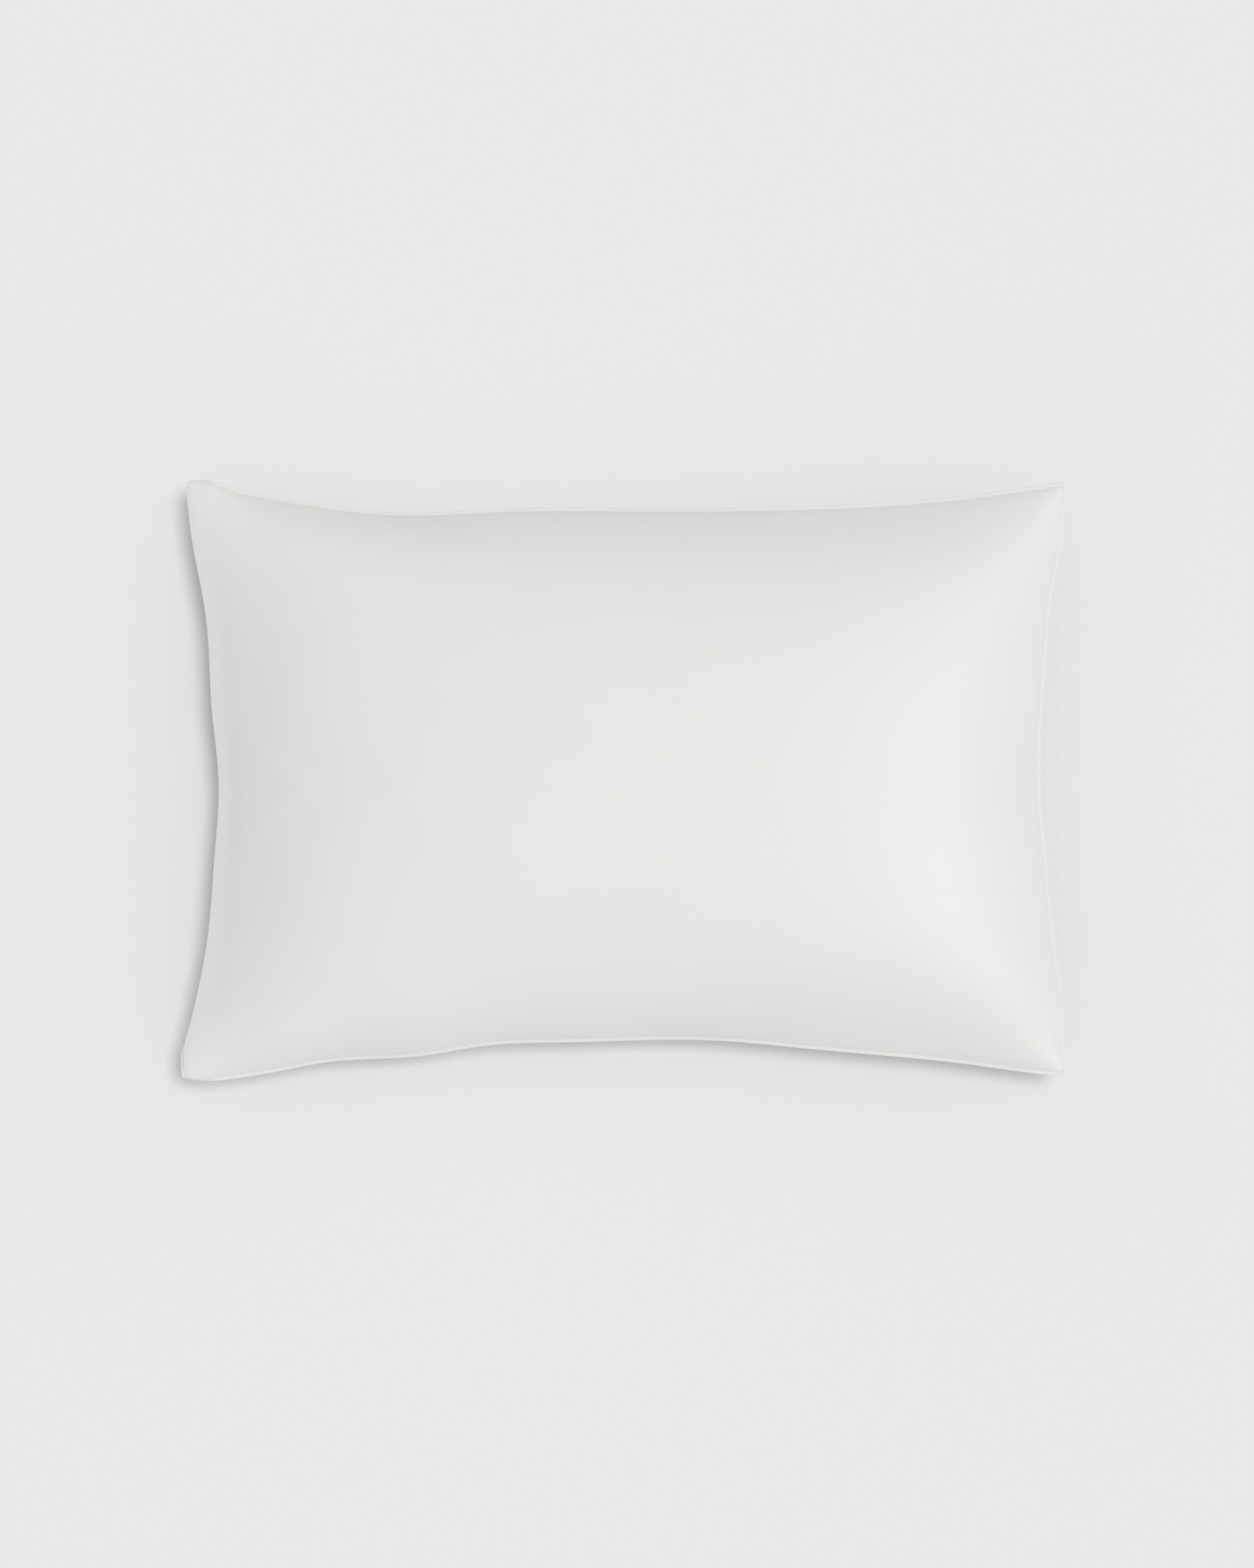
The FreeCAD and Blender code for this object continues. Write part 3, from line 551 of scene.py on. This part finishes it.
SWELL_CAP = 6 * MM  # the furthest a point may move
SIM_FRAMES = 20
SPARE_CLOTH, SPARE_REACH = 0.035, 50 * MM  # share of spare cloth at the seam, and how far in


def simulate(front, back):
    """Blows the sewn case up a little, with spare cloth beside the seam, and returns how far each
    point of the two panels moves."""
    rows, columns = front.shape[:2]
    count = rows * columns
    points = np.concatenate([front.reshape(-1, 3), back.reshape(-1, 3)])
    faces = np.concatenate([
        grid_faces(rows, columns), grid_faces(rows, columns, flip=True, start=count)
    ])
    mesh = bpy.data.meshes.new("case_sim")
    mesh.from_pydata(points.tolist(), [], faces.tolist())
    item = bpy.data.objects.new("case_sim", mesh)
    bpy.context.scene.collection.objects.link(item)

    border = np.ones((rows, columns), bool)
    border[1:-1, 1:-1] = False
    held = item.vertex_groups.new(name="held")
    held.add(np.flatnonzero(np.tile(border.ravel(), 2)).tolist(), 1.0, "REPLACE")
    spare = np.exp(-((FROM_SEAM / SPARE_REACH) ** 2)).ravel()
    group = item.vertex_groups.new(name="spare")
    for i, weight in enumerate(np.tile(spare, 2)):
        group.add([i], float(weight), "REPLACE")

    cloth = item.modifiers.new("cloth", "CLOTH")
    settings = cloth.settings
    settings.quality = 6
    settings.mass = 0.15
    settings.tension_stiffness = settings.compression_stiffness = 40
    settings.shear_stiffness = 12
    settings.bending_stiffness = 0.6
    settings.vertex_group_mass = "held"
    settings.use_pressure = True
    settings.uniform_pressure_force = 4.0
    settings.vertex_group_shrink = "spare"
    settings.shrink_min, settings.shrink_max = 0.0, -SPARE_CLOTH
    settings.effector_weights.gravity = 0
    cloth.collision_settings.use_collision = False
    cloth.collision_settings.use_self_collision = False
    cloth.point_cache.frame_start, cloth.point_cache.frame_end = 1, SIM_FRAMES
    scene = bpy.context.scene
    for step in range(1, SIM_FRAMES + 1):
        scene.frame_set(step)
    evaluated = item.evaluated_get(bpy.context.evaluated_depsgraph_get())
    after = np.zeros(len(points) * 3, np.float32)
    evaluated.data.vertices.foreach_get("co", after)
    scene.frame_set(1)
    bpy.data.objects.remove(item)
    moved = after.reshape(-1, 3).astype(float) - points
    return moved[:count].reshape(front.shape), moved[count:].reshape(front.shape)


def capped(moves, cap):
    """The same moves, eased off so that none is longer than the cap."""
    length = np.linalg.norm(moves, axis=-1, keepdims=True)
    return moves * cap * np.tanh(length / cap) / np.maximum(length, 1e-9)


def blurred(moves, times):
    """Averages each inner point of a grid with its neighbours."""
    for _ in range(times):
        inner = moves[1:-1, 1:-1]
        around = moves[:-2, 1:-1] + moves[2:, 1:-1] + moves[1:-1, :-2] + moves[1:-1, 2:]
        moves = moves.copy()
        moves[1:-1, 1:-1] = inner / 2 + around / 8
    return moves


def settled(front, back):
    """Both panels after the simulation, kept off the floor."""
    moves = simulate(front, back)
    free = (0.15 + 0.85 * smoothstep(FROM_SEAM, 0, 30 * MM))[..., None]  # held down at the seam
    front = front + free * blurred(capped(moves[0], SWELL_CAP), 2)
    back = back + free * blurred(capped(moves[1], SWELL_CAP), 2)
    back[..., 2] = softly_above(back[..., 2], 0.05 * MM, 0.6 * MM)
    front[..., 2] = np.minimum(front[..., 2], TOP)
    return front, back


# ---------------------------------------------------------------- pillowcase: pieces

# the hem behind its fold: millimetres inward, and back towards its own panel
HEM_WALK = [(2.0, 0.0), (4.5, 0.0), (7.0, 0.0), (9.0, 1.0), (11.0, 2.0), (12.4, 2.05)]


def folded_hem(edge, sign):
    """Columns of points that turn a panel's zipped edge under and carry it in to the zip's tape.
    The edge's points are the fold's last point on the panel's face; sign is 1 for the front."""
    inward = -outward_of(edge)
    share = corner_share(LINE_V)[:, None]
    fold = FOLD * share
    columns = []
    for turn in np.radians([30, 60, 90, 120, 150, 180]):
        sideways, drop = -np.sin(turn) * fold, (1 - np.cos(turn)) * fold
        columns.append(edge + inward * sideways - [0, 0, sign] * drop)
    turned = columns[-1]
    for reach, rise in HEM_WALK:
        columns.append(turned + inward * reach * MM * share + [0, 0, sign * rise * MM] * share)
    return np.stack(columns[::-1])


def case_panel(name, points, sign, node):
    edge = points[0]
    hem = folded_hem(edge, sign)
    sheet_points = np.concatenate([hem, points])
    rows, columns = sheet_points.shape[:2]
    flat_v = V[0] * HALF_Y
    steps = np.linalg.norm(np.diff(sheet_points[:, columns // 2], axis=0), axis=1)
    flat_u = np.concatenate([[0], np.cumsum(steps)])
    flat_map = np.stack(np.meshgrid(flat_u, flat_v, indexing="ij"), -1)
    faces = grid_faces(rows, columns, flip=sign < 0)
    item = piece_of(name, sheet_points, faces, SATIN, [node], flat_map)
    subdivide(item)
    thicken(item, CLOTH)
    return item


SEAM_STEP = 0.75 * MM  # spacing of points along the sewn outline


def seam_line():
    """The case's sewn outline: rear side, closed end, front side.  It runs clockwise, so its left
    side is outward."""
    count = 240
    side = Sides(front_zip_pull, 0.0)
    along, one = np.linspace(-1, 1, count), np.ones(count)
    parts = [side.plan(along, one), side.plan(one, -along), side.plan(-along, -one)]
    line = np.concatenate([np.stack(part, 1) for part in parts])
    line = soften(resample(line, SEAM_STEP), SEAM_STEP, 3.6 * MM)
    return np.column_stack([line, SEAM + seam_lift(line[:, 0], line[:, 1])])


# half the rib's section: millimetres inward (negative) from its outer edge, and up
RIB_SECTION = [
    (0.0, 0.0), (-0.25, 0.55), (-0.8, 0.86), (-1.35, 0.72), (-1.65, 0.6), (-1.95, 0.72),
    (-2.5, 0.95), (-3.3, 1.05), (-3.9, 0.6),
]


def rib_piece(line):
    """The seam's turned allowance, edge-stitched: it stands out as a flat, scalloped rib."""
    near_zip = line[:, 0] + HALF_X < RIB_CUT
    line = resample(line[~near_zip], SEAM_STEP)
    along = np.arange(len(line)) * SEAM_STEP
    share = rib_share(line[:, 0])[:, None]
    puff = 1 + 0.05 * np.cos(2 * np.pi * along / STITCH)[:, None]
    upper = np.array(RIB_SECTION) * MM
    lower = upper[-1:0:-1] * [1, -1]
    section = np.concatenate([upper, lower])
    height = section[:, 1] * puff * (0.25 + 0.75 * share)
    sideways = section[:, 0] * (0.35 + 0.65 * share)
    rings = np.stack([sideways, height], -1)
    return capped_sweep("case_seam_rib", line, rings, SATIN)


def stitches(name, lines, length, pitch, radius, material, stands_for, sides=6):
    """Separate stitches laid end to end along lines; they dip into the cloth at their ends."""
    rows = np.array([-1, -0.9, -0.6, 0, 0.6, 0.9, 1])
    girth = np.array([0.15, 0.6, 0.95, 1, 0.95, 0.6, 0.15])
    dip = np.array([0.9, 0.5, 0.12, 0, 0.12, 0.5, 0.9])
    turn = np.linspace(0, 2 * np.pi, sides, endpoint=False)
    template = grid_faces(len(rows), sides, loop_columns=True)
    points, faces = [], []
    for line, up in lines:
        line = resample(line, pitch / 2)
        centres, ahead = line[1:-1:2], line[2::2] - line[:-2:2]
        count = min(len(centres), len(ahead))
        centres, ahead = centres[:count], ahead[:count]
        ahead = ahead / np.linalg.norm(ahead, axis=1)[:, None]
        side = np.cross(ahead, np.array([0, 0, 1.0]))
        for centre, forward, across in zip(centres, ahead, side):
            base = len(points) * len(rows) * sides
            along = centre + np.outer(rows * length / 2, forward) - np.outer(dip * radius, [0, 0, up])
            ring = np.outer(np.cos(turn), across) + np.outer(np.sin(turn), [0, 0, 1.0])
            points.append(along[:, None] + radius * girth[:, None, None] * ring[None])
            faces.append(template + base)
    points = np.concatenate([stitch.reshape(-1, 3) for stitch in points])
    return piece_of(name, points, np.concatenate(faces), material, stands_for)


def case_stitching(line):
    """One row of stitches on each face of the rib, a piece for each sewn side."""
    inward = -outward_of(line)
    middle = line + inward * RIB_GROOVE
    whole = rib_share(line[:, 0]) > 0.98
    end_x = line[:, 0].max() - 6 * MM  # the closed end's row begins here, round its two corners
    sides = {
        "rear": (line[:, 1] > 0) & (line[:, 0] < end_x) & whole,
        "closed_end": line[:, 0] >= end_x,
        "front": (line[:, 1] < 0) & (line[:, 0] < end_x) & whole,
    }
    for side, chosen in sides.items():
        rows = [(middle[chosen] + [0, 0, up * 0.66 * MM], up) for up in (1, -1)]
        stitches(f"case_stitches_{side}", rows, STITCH_LENGTH, STITCH, 0.17 * MM, THREAD,
                 [f"case_thread_{side}"])


front, back = settled(front_points(), back_points())
case_panel("case_front", front, 1, "case_front_panel")
case_panel("case_back", back, -1, "case_back_panel")
seam = seam_line()
rib_piece(seam)
case_stitching(seam)


# ---------------------------------------------------------------- insert

def sampled(grid, u, v):
    """Values of a grid of points over (LINE_U, LINE_V), at any u and v."""
    i = np.clip(np.interp(u, LINE_U, np.arange(len(LINE_U))), 0, len(LINE_U) - 1.001)
    j = np.clip(np.interp(v, LINE_V, np.arange(len(LINE_V))), 0, len(LINE_V) - 1.001)
    i0, j0 = i.astype(int), j.astype(int)
    fi, fj = (i - i0)[..., None], (j - j0)[..., None]
    near = grid[i0, j0] * (1 - fj) + grid[i0, j0 + 1] * fj
    far = grid[i0 + 1, j0] * (1 - fj) + grid[i0 + 1, j0 + 1] * fj
    return near * (1 - fi) + far * fi


INSERT_SETBACK = 34 * MM  # ticking's edge to the case's edge at the zipped end
INSERT_INSET = 16 * MM  # the same at the sewn sides
PIPING = 3 * MM  # radius of the covered piping
FLANGE = 1.4 * MM  # piping's flange that shows beside the ticking
TICKING_GAP, FIBRE_GAP = 2.6 * MM, 5.5 * MM  # how far inside the case each layer stays
FIBRE_INSET = 5 * MM  # fibre's edge to the ticking's edge


def layer_uv(s, t, inward):
    """(u, v) on the case of a place (s, t) on an inner layer, drawn in from the ticking's edge."""
    low_x, high_x = INSERT_SETBACK + inward, INSERT_INSET + inward
    u = (-1 + low_x / HALF_X) * (1 - s) / 2 + (1 - high_x / HALF_X) * (1 + s) / 2
    return u, t * (1 - high_x / HALF_Y)


def layer(panel, sign, inward, gap, cells, power=8.0, level=0.3 * MM):
    """Points of an inner layer: its edge lies in the seam, and it stays a gap inside the panel."""
    s, t = (np.linspace(-1, 1, count + 1) for count in cells)
    s, t = (0.4 * line + 0.6 * np.sin(line * np.pi / 2) for line in (s, t))
    s, t = np.meshgrid(s, t, indexing="ij")
    u, v = layer_uv(s, t, inward)
    case = sampled(panel, u, v)
    x, y = case[..., 0], case[..., 1]
    rise = np.clip((1 - np.abs(s) ** power) * (1 - np.abs(t) ** power), 0, 1) ** 0.45
    base = SEAM + sign * level
    z = base + (case[..., 2] - sign * gap - base) * rise
    return np.stack([x, y, z], -1), s, t


def fabric_map(points):
    """Places on the flat cloth, from the lengths of a grid's two middle lines."""
    rows, columns = points.shape[:2]
    along = np.linalg.norm(np.diff(points[:, columns // 2], axis=0), axis=1)
    across = np.linalg.norm(np.diff(points[rows // 2], axis=0), axis=1)
    flat = [np.concatenate([[0], np.cumsum(steps)]) for steps in (along, across)]
    return np.stack(np.meshgrid(*flat, indexing="ij"), -1)


PUCKER = 0.35 * MM  # depth of the puckers that the piping's seam gives the ticking


def ticking_panel(name, panel, sign, node):
    points, s, t = layer(panel, sign, 0.0, TICKING_GAP, (84, 58))
    along = np.sin(s * 170) * np.exp(-(1 - np.abs(t)) * 14)
    across = np.sin(t * 120) * np.exp(-(1 - np.abs(s)) * 18)
    points[..., 2] -= sign * np.abs(PUCKER * along + PUCKER * across)
    rows, columns = points.shape[:2]
    item = piece_of(name, points, grid_faces(rows, columns, flip=sign < 0), TICKING, [node],
                    fabric_map(points))
    subdivide(item)
    thicken(item, 0.3 * MM)
    return item


def fibre():
    """One clumpy mass of fibre, closed where its two faces meet in the seam."""
    shape = (FIBRE_INSET, FIBRE_GAP, (96, 66), 6.0, 0.2 * MM)
    upper, s, t = layer(front, 1, *shape)
    lower, _, _ = layer(back, -1, *shape)
    for face, sign in ((upper, 1), (lower, -1)):
        x, y = face[..., 0], face[..., 1]
        clumps = np.sin(x / 0.031 + 2 * np.sin(y / 0.05)) * np.cos(y / 0.027 + 1.5 * np.sin(x / 0.04))
        knots = np.sin(x / 0.012 + y / 0.017) * np.sin(y / 0.011 - x / 0.023)
        inner = (1 - np.abs(s) ** 6) * (1 - np.abs(t) ** 6)
        face[..., 2] -= sign * MM * (1.2 + 0.8 * clumps + 0.4 * knots) * inner
    rows, columns = upper.shape[:2]
    count = rows * columns
    rim = np.concatenate([
        np.arange(columns), np.arange(1, rows) * columns + columns - 1,
        (rows - 1) * columns + np.arange(columns - 2, -1, -1), np.arange(rows - 2, 0, -1) * columns,
    ])
    after = np.roll(rim, -1)
    band = np.stack([rim, after, after + count, rim + count], 1)
    faces = np.concatenate([
        grid_faces(rows, columns), grid_faces(rows, columns, flip=True, start=count), band
    ])
    points = np.concatenate([upper.reshape(-1, 3), lower.reshape(-1, 3)])
    item = piece_of("fibre_filling", points, faces, FIBRE, ["fibre_fill"])
    return item


CORD_STEP = 1.5 * MM  # spacing of points along the piping


def insert_line(outward, count=700):
    """Closed outline about the insert, that far outside the ticking's edge."""
    s_side, t_side = np.linspace(-1, 1, count, endpoint=False), np.ones(count)
    walk = [(s_side, t_side), (t_side, -s_side), (-s_side, -t_side), (-t_side, s_side)]
    parts = []
    for s, t in walk:
        u, v = layer_uv(s, t, -outward)
        parts.append(sampled(front, u, v)[:, :2])
    line = np.concatenate(parts)
    line = resample(np.concatenate([line, line[:1]]), CORD_STEP)[:-1]
    wrap = 40  # points repeated past the join, so that it is softened too
    line = np.concatenate([line[-wrap:], line, line[:wrap]])
    line = soften(line, CORD_STEP, CORNER_RADIUS)[wrap:-wrap]
    return np.column_stack([line, np.full(len(line), SEAM)])


def closed_sweep(name, line, section, material, stands_for=()):
    rings = sweep(line, section, closed=True)
    rows, columns = rings.shape[:2]
    faces = grid_faces(rows, columns, loop_rows=True, loop_columns=True)
    return piece_of(name, rings, faces, material, stands_for)


def piping():
    """Covered cord round the insert: a bias strip round it, and its flange sewn between the panels."""
    line = insert_line(PIPING + FLANGE)
    turn = np.radians(np.arange(20, 341, 20))
    skin = 0.35 * MM
    outer = np.stack([-PIPING * np.cos(turn), PIPING * np.sin(turn)], 1)
    inner = np.stack([-(PIPING - skin) * np.cos(turn), (PIPING - skin) * np.sin(turn)], 1)[::-1]
    reach = -(PIPING + FLANGE + 1.6 * MM)
    upper, lower = [(reach, skin)], [(reach, -skin)]
    section = np.concatenate([upper, outer, lower, [(reach, -0.05 * MM)], inner, [(reach, 0.05 * MM)]])
    pull = 1 + 0.03 * np.sin(2 * np.pi * np.arange(len(line)) * CORD_STEP / (9 * MM))
    section = section * pull[:, None, None]
    closed_sweep("ticking_piping", line, section, PIPING_CLOTH, ["ticking_piping_cover"])

    strands, radius = 3, PIPING - 0.55 * MM
    turn = np.linspace(0, 2 * np.pi, 18, endpoint=False)
    length = len(line) * CORD_STEP
    twists = round(length / (14 * MM))
    phase = 2 * np.pi * twists * np.arange(len(line)) / len(line)
    lobes = 1 - 0.13 * (1 - np.abs(np.cos(strands / 2 * (turn[None] - phase[:, None]))))
    section = radius * np.stack([np.cos(turn) * lobes, np.sin(turn) * lobes], -1)
    closed_sweep("piping_cord", line, section, THREAD, ["ticking_piping_cord"])

    row = insert_line(FLANGE / 2)
    row = np.concatenate([row, row[:2]])
    rows = [(row + [0, 0, up * 0.4 * MM], up) for up in (1, -1)]
    stitches("ticking_stitches", rows, 2.6 * MM, 3.5 * MM, 0.17 * MM, THREAD,
             ["ticking_thread"], 5)


def label(name, node, sign):
    """A folded ribbon, blank, whose free end curls a little."""
    low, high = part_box(node)
    rows, columns = 15, 25
    s, t = np.meshgrid(np.linspace(0, 1, rows), np.linspace(-1, 1, columns), indexing="ij")
    half, middle = (high.y - low.y) / 2, (high.y + low.y) / 2
    ply, curl = 0.14 * MM, 0.12 * MM
    layers = []
    for offset in (ply, -ply):
        x = low.x + (high.x - low.x) * (0.06 + 0.9 * s)
        y = middle + half * 0.97 * t
        z = (low.z + high.z) / 2 + offset + sign * curl * np.sin(3 * s) * t**2
        layers.append(np.stack([x, y, z], -1))
    points = np.concatenate([layers[0], layers[1][::-1]])
    faces = grid_faces(2 * rows, columns)
    item = piece_of(name, points, faces, LABEL, [node], fabric_map(points))
    thicken(item, 0.1 * MM, 0.0)
    return item


ticking_panel("ticking_top", front, 1, "ticking_top_panel")
ticking_panel("ticking_bottom", back, -1, "ticking_bottom_panel")
fibre()
piping()
label("ticking_label", "ticking_care_label", 1)
label("case_label", "case_care_label", -1)


# ---------------------------------------------------------------- zip

def zip_place(inward, y, z):
    """Points at a distance inward from the front panel's edge, on the zip's own arc."""
    radius = EDGE_RADIUS + inward
    angle = np.arcsin(y / COIL_RADIUS)
    level = np.broadcast_to(z, angle.shape)
    return np.stack([AXIS_X + radius * np.cos(angle), radius * np.sin(angle), level], -1)


def coil(side, sign):
    """A monofilament wound into a coil: one row of interlocking loops."""
    low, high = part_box(f"zip_coil_{side}")
    pitch, wire, steps, sides = 1.5 * MM, 0.25 * MM, 12, 6
    middle = ZIP_LEVEL + sign * 0.8 * MM
    half_depth, half_height = 0.8 * MM - wire, 0.75 * MM - wire
    turns = int((high.y - low.y - 2 * wire) / pitch)
    phase = np.linspace(0, turns, turns * steps + 1)
    round_it = 2 * np.pi * phase + (0 if sign > 0 else np.pi)
    y = low.y + wire + pitch * phase
    inward, level = ZIP_SETBACK + half_depth * np.cos(round_it), middle + half_height * np.sin(round_it)
    centre = zip_place(inward, y, level)
    ahead = np.gradient(centre, axis=0)
    ahead /= np.linalg.norm(ahead, axis=1)[:, None]
    out = centre - zip_place(ZIP_SETBACK, y, middle)
    out -= (out * ahead).sum(1)[:, None] * ahead
    out /= np.linalg.norm(out, axis=1)[:, None]
    across = np.cross(ahead, out)
    turn = np.linspace(0, 2 * np.pi, sides, endpoint=False)
    ring = np.cos(turn)[:, None] * out[:, None] + np.sin(turn)[:, None] * across[:, None]
    points = centre[:, None] + wire * ring
    faces = grid_faces(len(centre), sides, loop_columns=True)
    piece_of(f"coil_{side}", points, faces, COIL, [f"zip_coil_{side}"])


def zip_stitching(side, sign):
    low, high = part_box(f"zip_thread_{side}")
    y = np.linspace(low.y, high.y, 600)
    level = low.z if sign > 0 else high.z
    row = zip_place(ZIP_SETBACK - 1.25 * MM, y, level)
    row = row + [0, 0, sign * 0.1 * MM]
    stitches(f"zip_stitches_{side}", [(row, sign)], STITCH_LENGTH, STITCH, 0.16 * MM, THREAD,
             [f"zip_thread_{side}"])


def bar_tacks():
    """A dense bar of stitches across each end of the slit."""
    low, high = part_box("zip_bar_tacks")
    width, bars, rings, sides, radius = 3 * MM, 9, 7, 6, 0.16 * MM
    points, faces, base = [], [], 0
    turn = np.linspace(0, 2 * np.pi, sides, endpoint=False)
    ring = np.stack([np.cos(turn), np.sin(turn), 0 * turn], 1) * radius
    bow = 0.5 * MM * np.cos(np.linspace(-1, 1, rings) * np.pi / 2)
    z = np.linspace(low.z + 0.15 * MM, high.z - 0.15 * MM, rings)
    for start in (low.y, high.y - width):
        for k in range(bars):
            y = start + width * (k + 0.5) / bars
            centre = zip_place(5.6 * MM - bow, np.full(rings, y), z)
            points.append((centre[:, None] + ring).reshape(-1, 3))
            faces.append(grid_faces(rings, sides, loop_columns=True, start=base))
            base += rings * sides
    points, faces = np.concatenate(points), np.concatenate(faces)
    piece_of("bar_tacks", points, faces, THREAD, ["zip_bar_tacks"])


for side, sign in (("front", 1), ("back", -1)):
    coil(side, sign)
    zip_stitching(side, sign)
bar_tacks()


# ---------------------------------------------------------------- carried-over CAD nodes

def finish_cad(node, material, bevel=0.0):
    item = frame["nodes"][node]
    item.data.materials.clear()
    item.data.materials.append(material)
    if bevel:
        rounding = item.modifiers.new("rounding", "BEVEL")
        rounding.width, rounding.segments, rounding.limit_method = bevel, 3, "ANGLE"


for node in ("zip_tape_front", "zip_tape_back"):
    finish_cad(node, TAPE)
for node in ("zip_slider_body", "zip_slider_pull"):
    finish_cad(node, ENAMEL, 0.15 * MM)
for node in ("zip_top_stops", "zip_bottom_stop"):
    finish_cad(node, METAL, 0.1 * MM)


# ---------------------------------------------------------------- floor, light, camera

WORLD_LIGHT = 0.54
EYE_HEIGHT = 3.117  # camera above the seam, for the pillow's size in the frame with an 85 mm lens


def stage_and_light():
    size = 6.0  # half the floor's side
    mesh = bpy.data.meshes.new("floor")
    corners = [(-size, -size, 0), (size, -size, 0), (size, size, 0), (-size, size, 0)]
    mesh.from_pydata(corners, [], [(0, 1, 2, 3)])
    mesh.materials.append(floor_material())
    floor = bpy.data.objects.new("floor", mesh)
    bpy.context.scene.collection.objects.link(floor)
    floor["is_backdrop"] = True

    on_floor = bpy.data.collections.new("floor_only")
    on_floor.objects.link(floor)
    on_pillow = bpy.data.collections.new("pillow_only")
    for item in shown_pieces():
        on_pillow.objects.link(item)
    # name: (strength, angle across, zenith, azimuth, what it lights), angles in degrees
    lamps = {
        "key": (1.53, 20, 14.5, 30, on_floor),
        "dome": (0.90, 140, 0, 0, on_pillow),
        "sheen": (0.83, 30, 36, -10, on_pillow),
    }
    for name, (strength, across, zenith, azimuth, lit) in lamps.items():
        light = bpy.data.lights.new(name, "SUN")
        light.energy, light.angle = strength, math.radians(across)
        lamp = bpy.data.objects.new(name, light)
        lamp.rotation_euler = (0, math.radians(zenith), math.radians(azimuth))
        bpy.context.scene.collection.objects.link(lamp)
        lamp.light_linking.receiver_collection = lit

    world = bpy.data.worlds.new("studio")
    world.use_nodes = True
    world.node_tree.nodes["Background"].inputs["Color"].default_value = (1, 1, 1, 1)
    world.node_tree.nodes["Background"].inputs["Strength"].default_value = WORLD_LIGHT
    bpy.context.scene.world = world
    bpy.context.scene.view_settings.view_transform = "Standard"


def camera():
    data = bpy.data.cameras.new("camera")
    data.sensor_width, data.lens = 36, 85
    item = bpy.data.objects.new("camera", data)
    item.location = (0.3 * MM, -4.3 * MM, SEAM + EYE_HEIGHT)
    bpy.context.scene.collection.objects.link(item)
    bpy.context.scene.camera = item


stage_and_light()
camera()
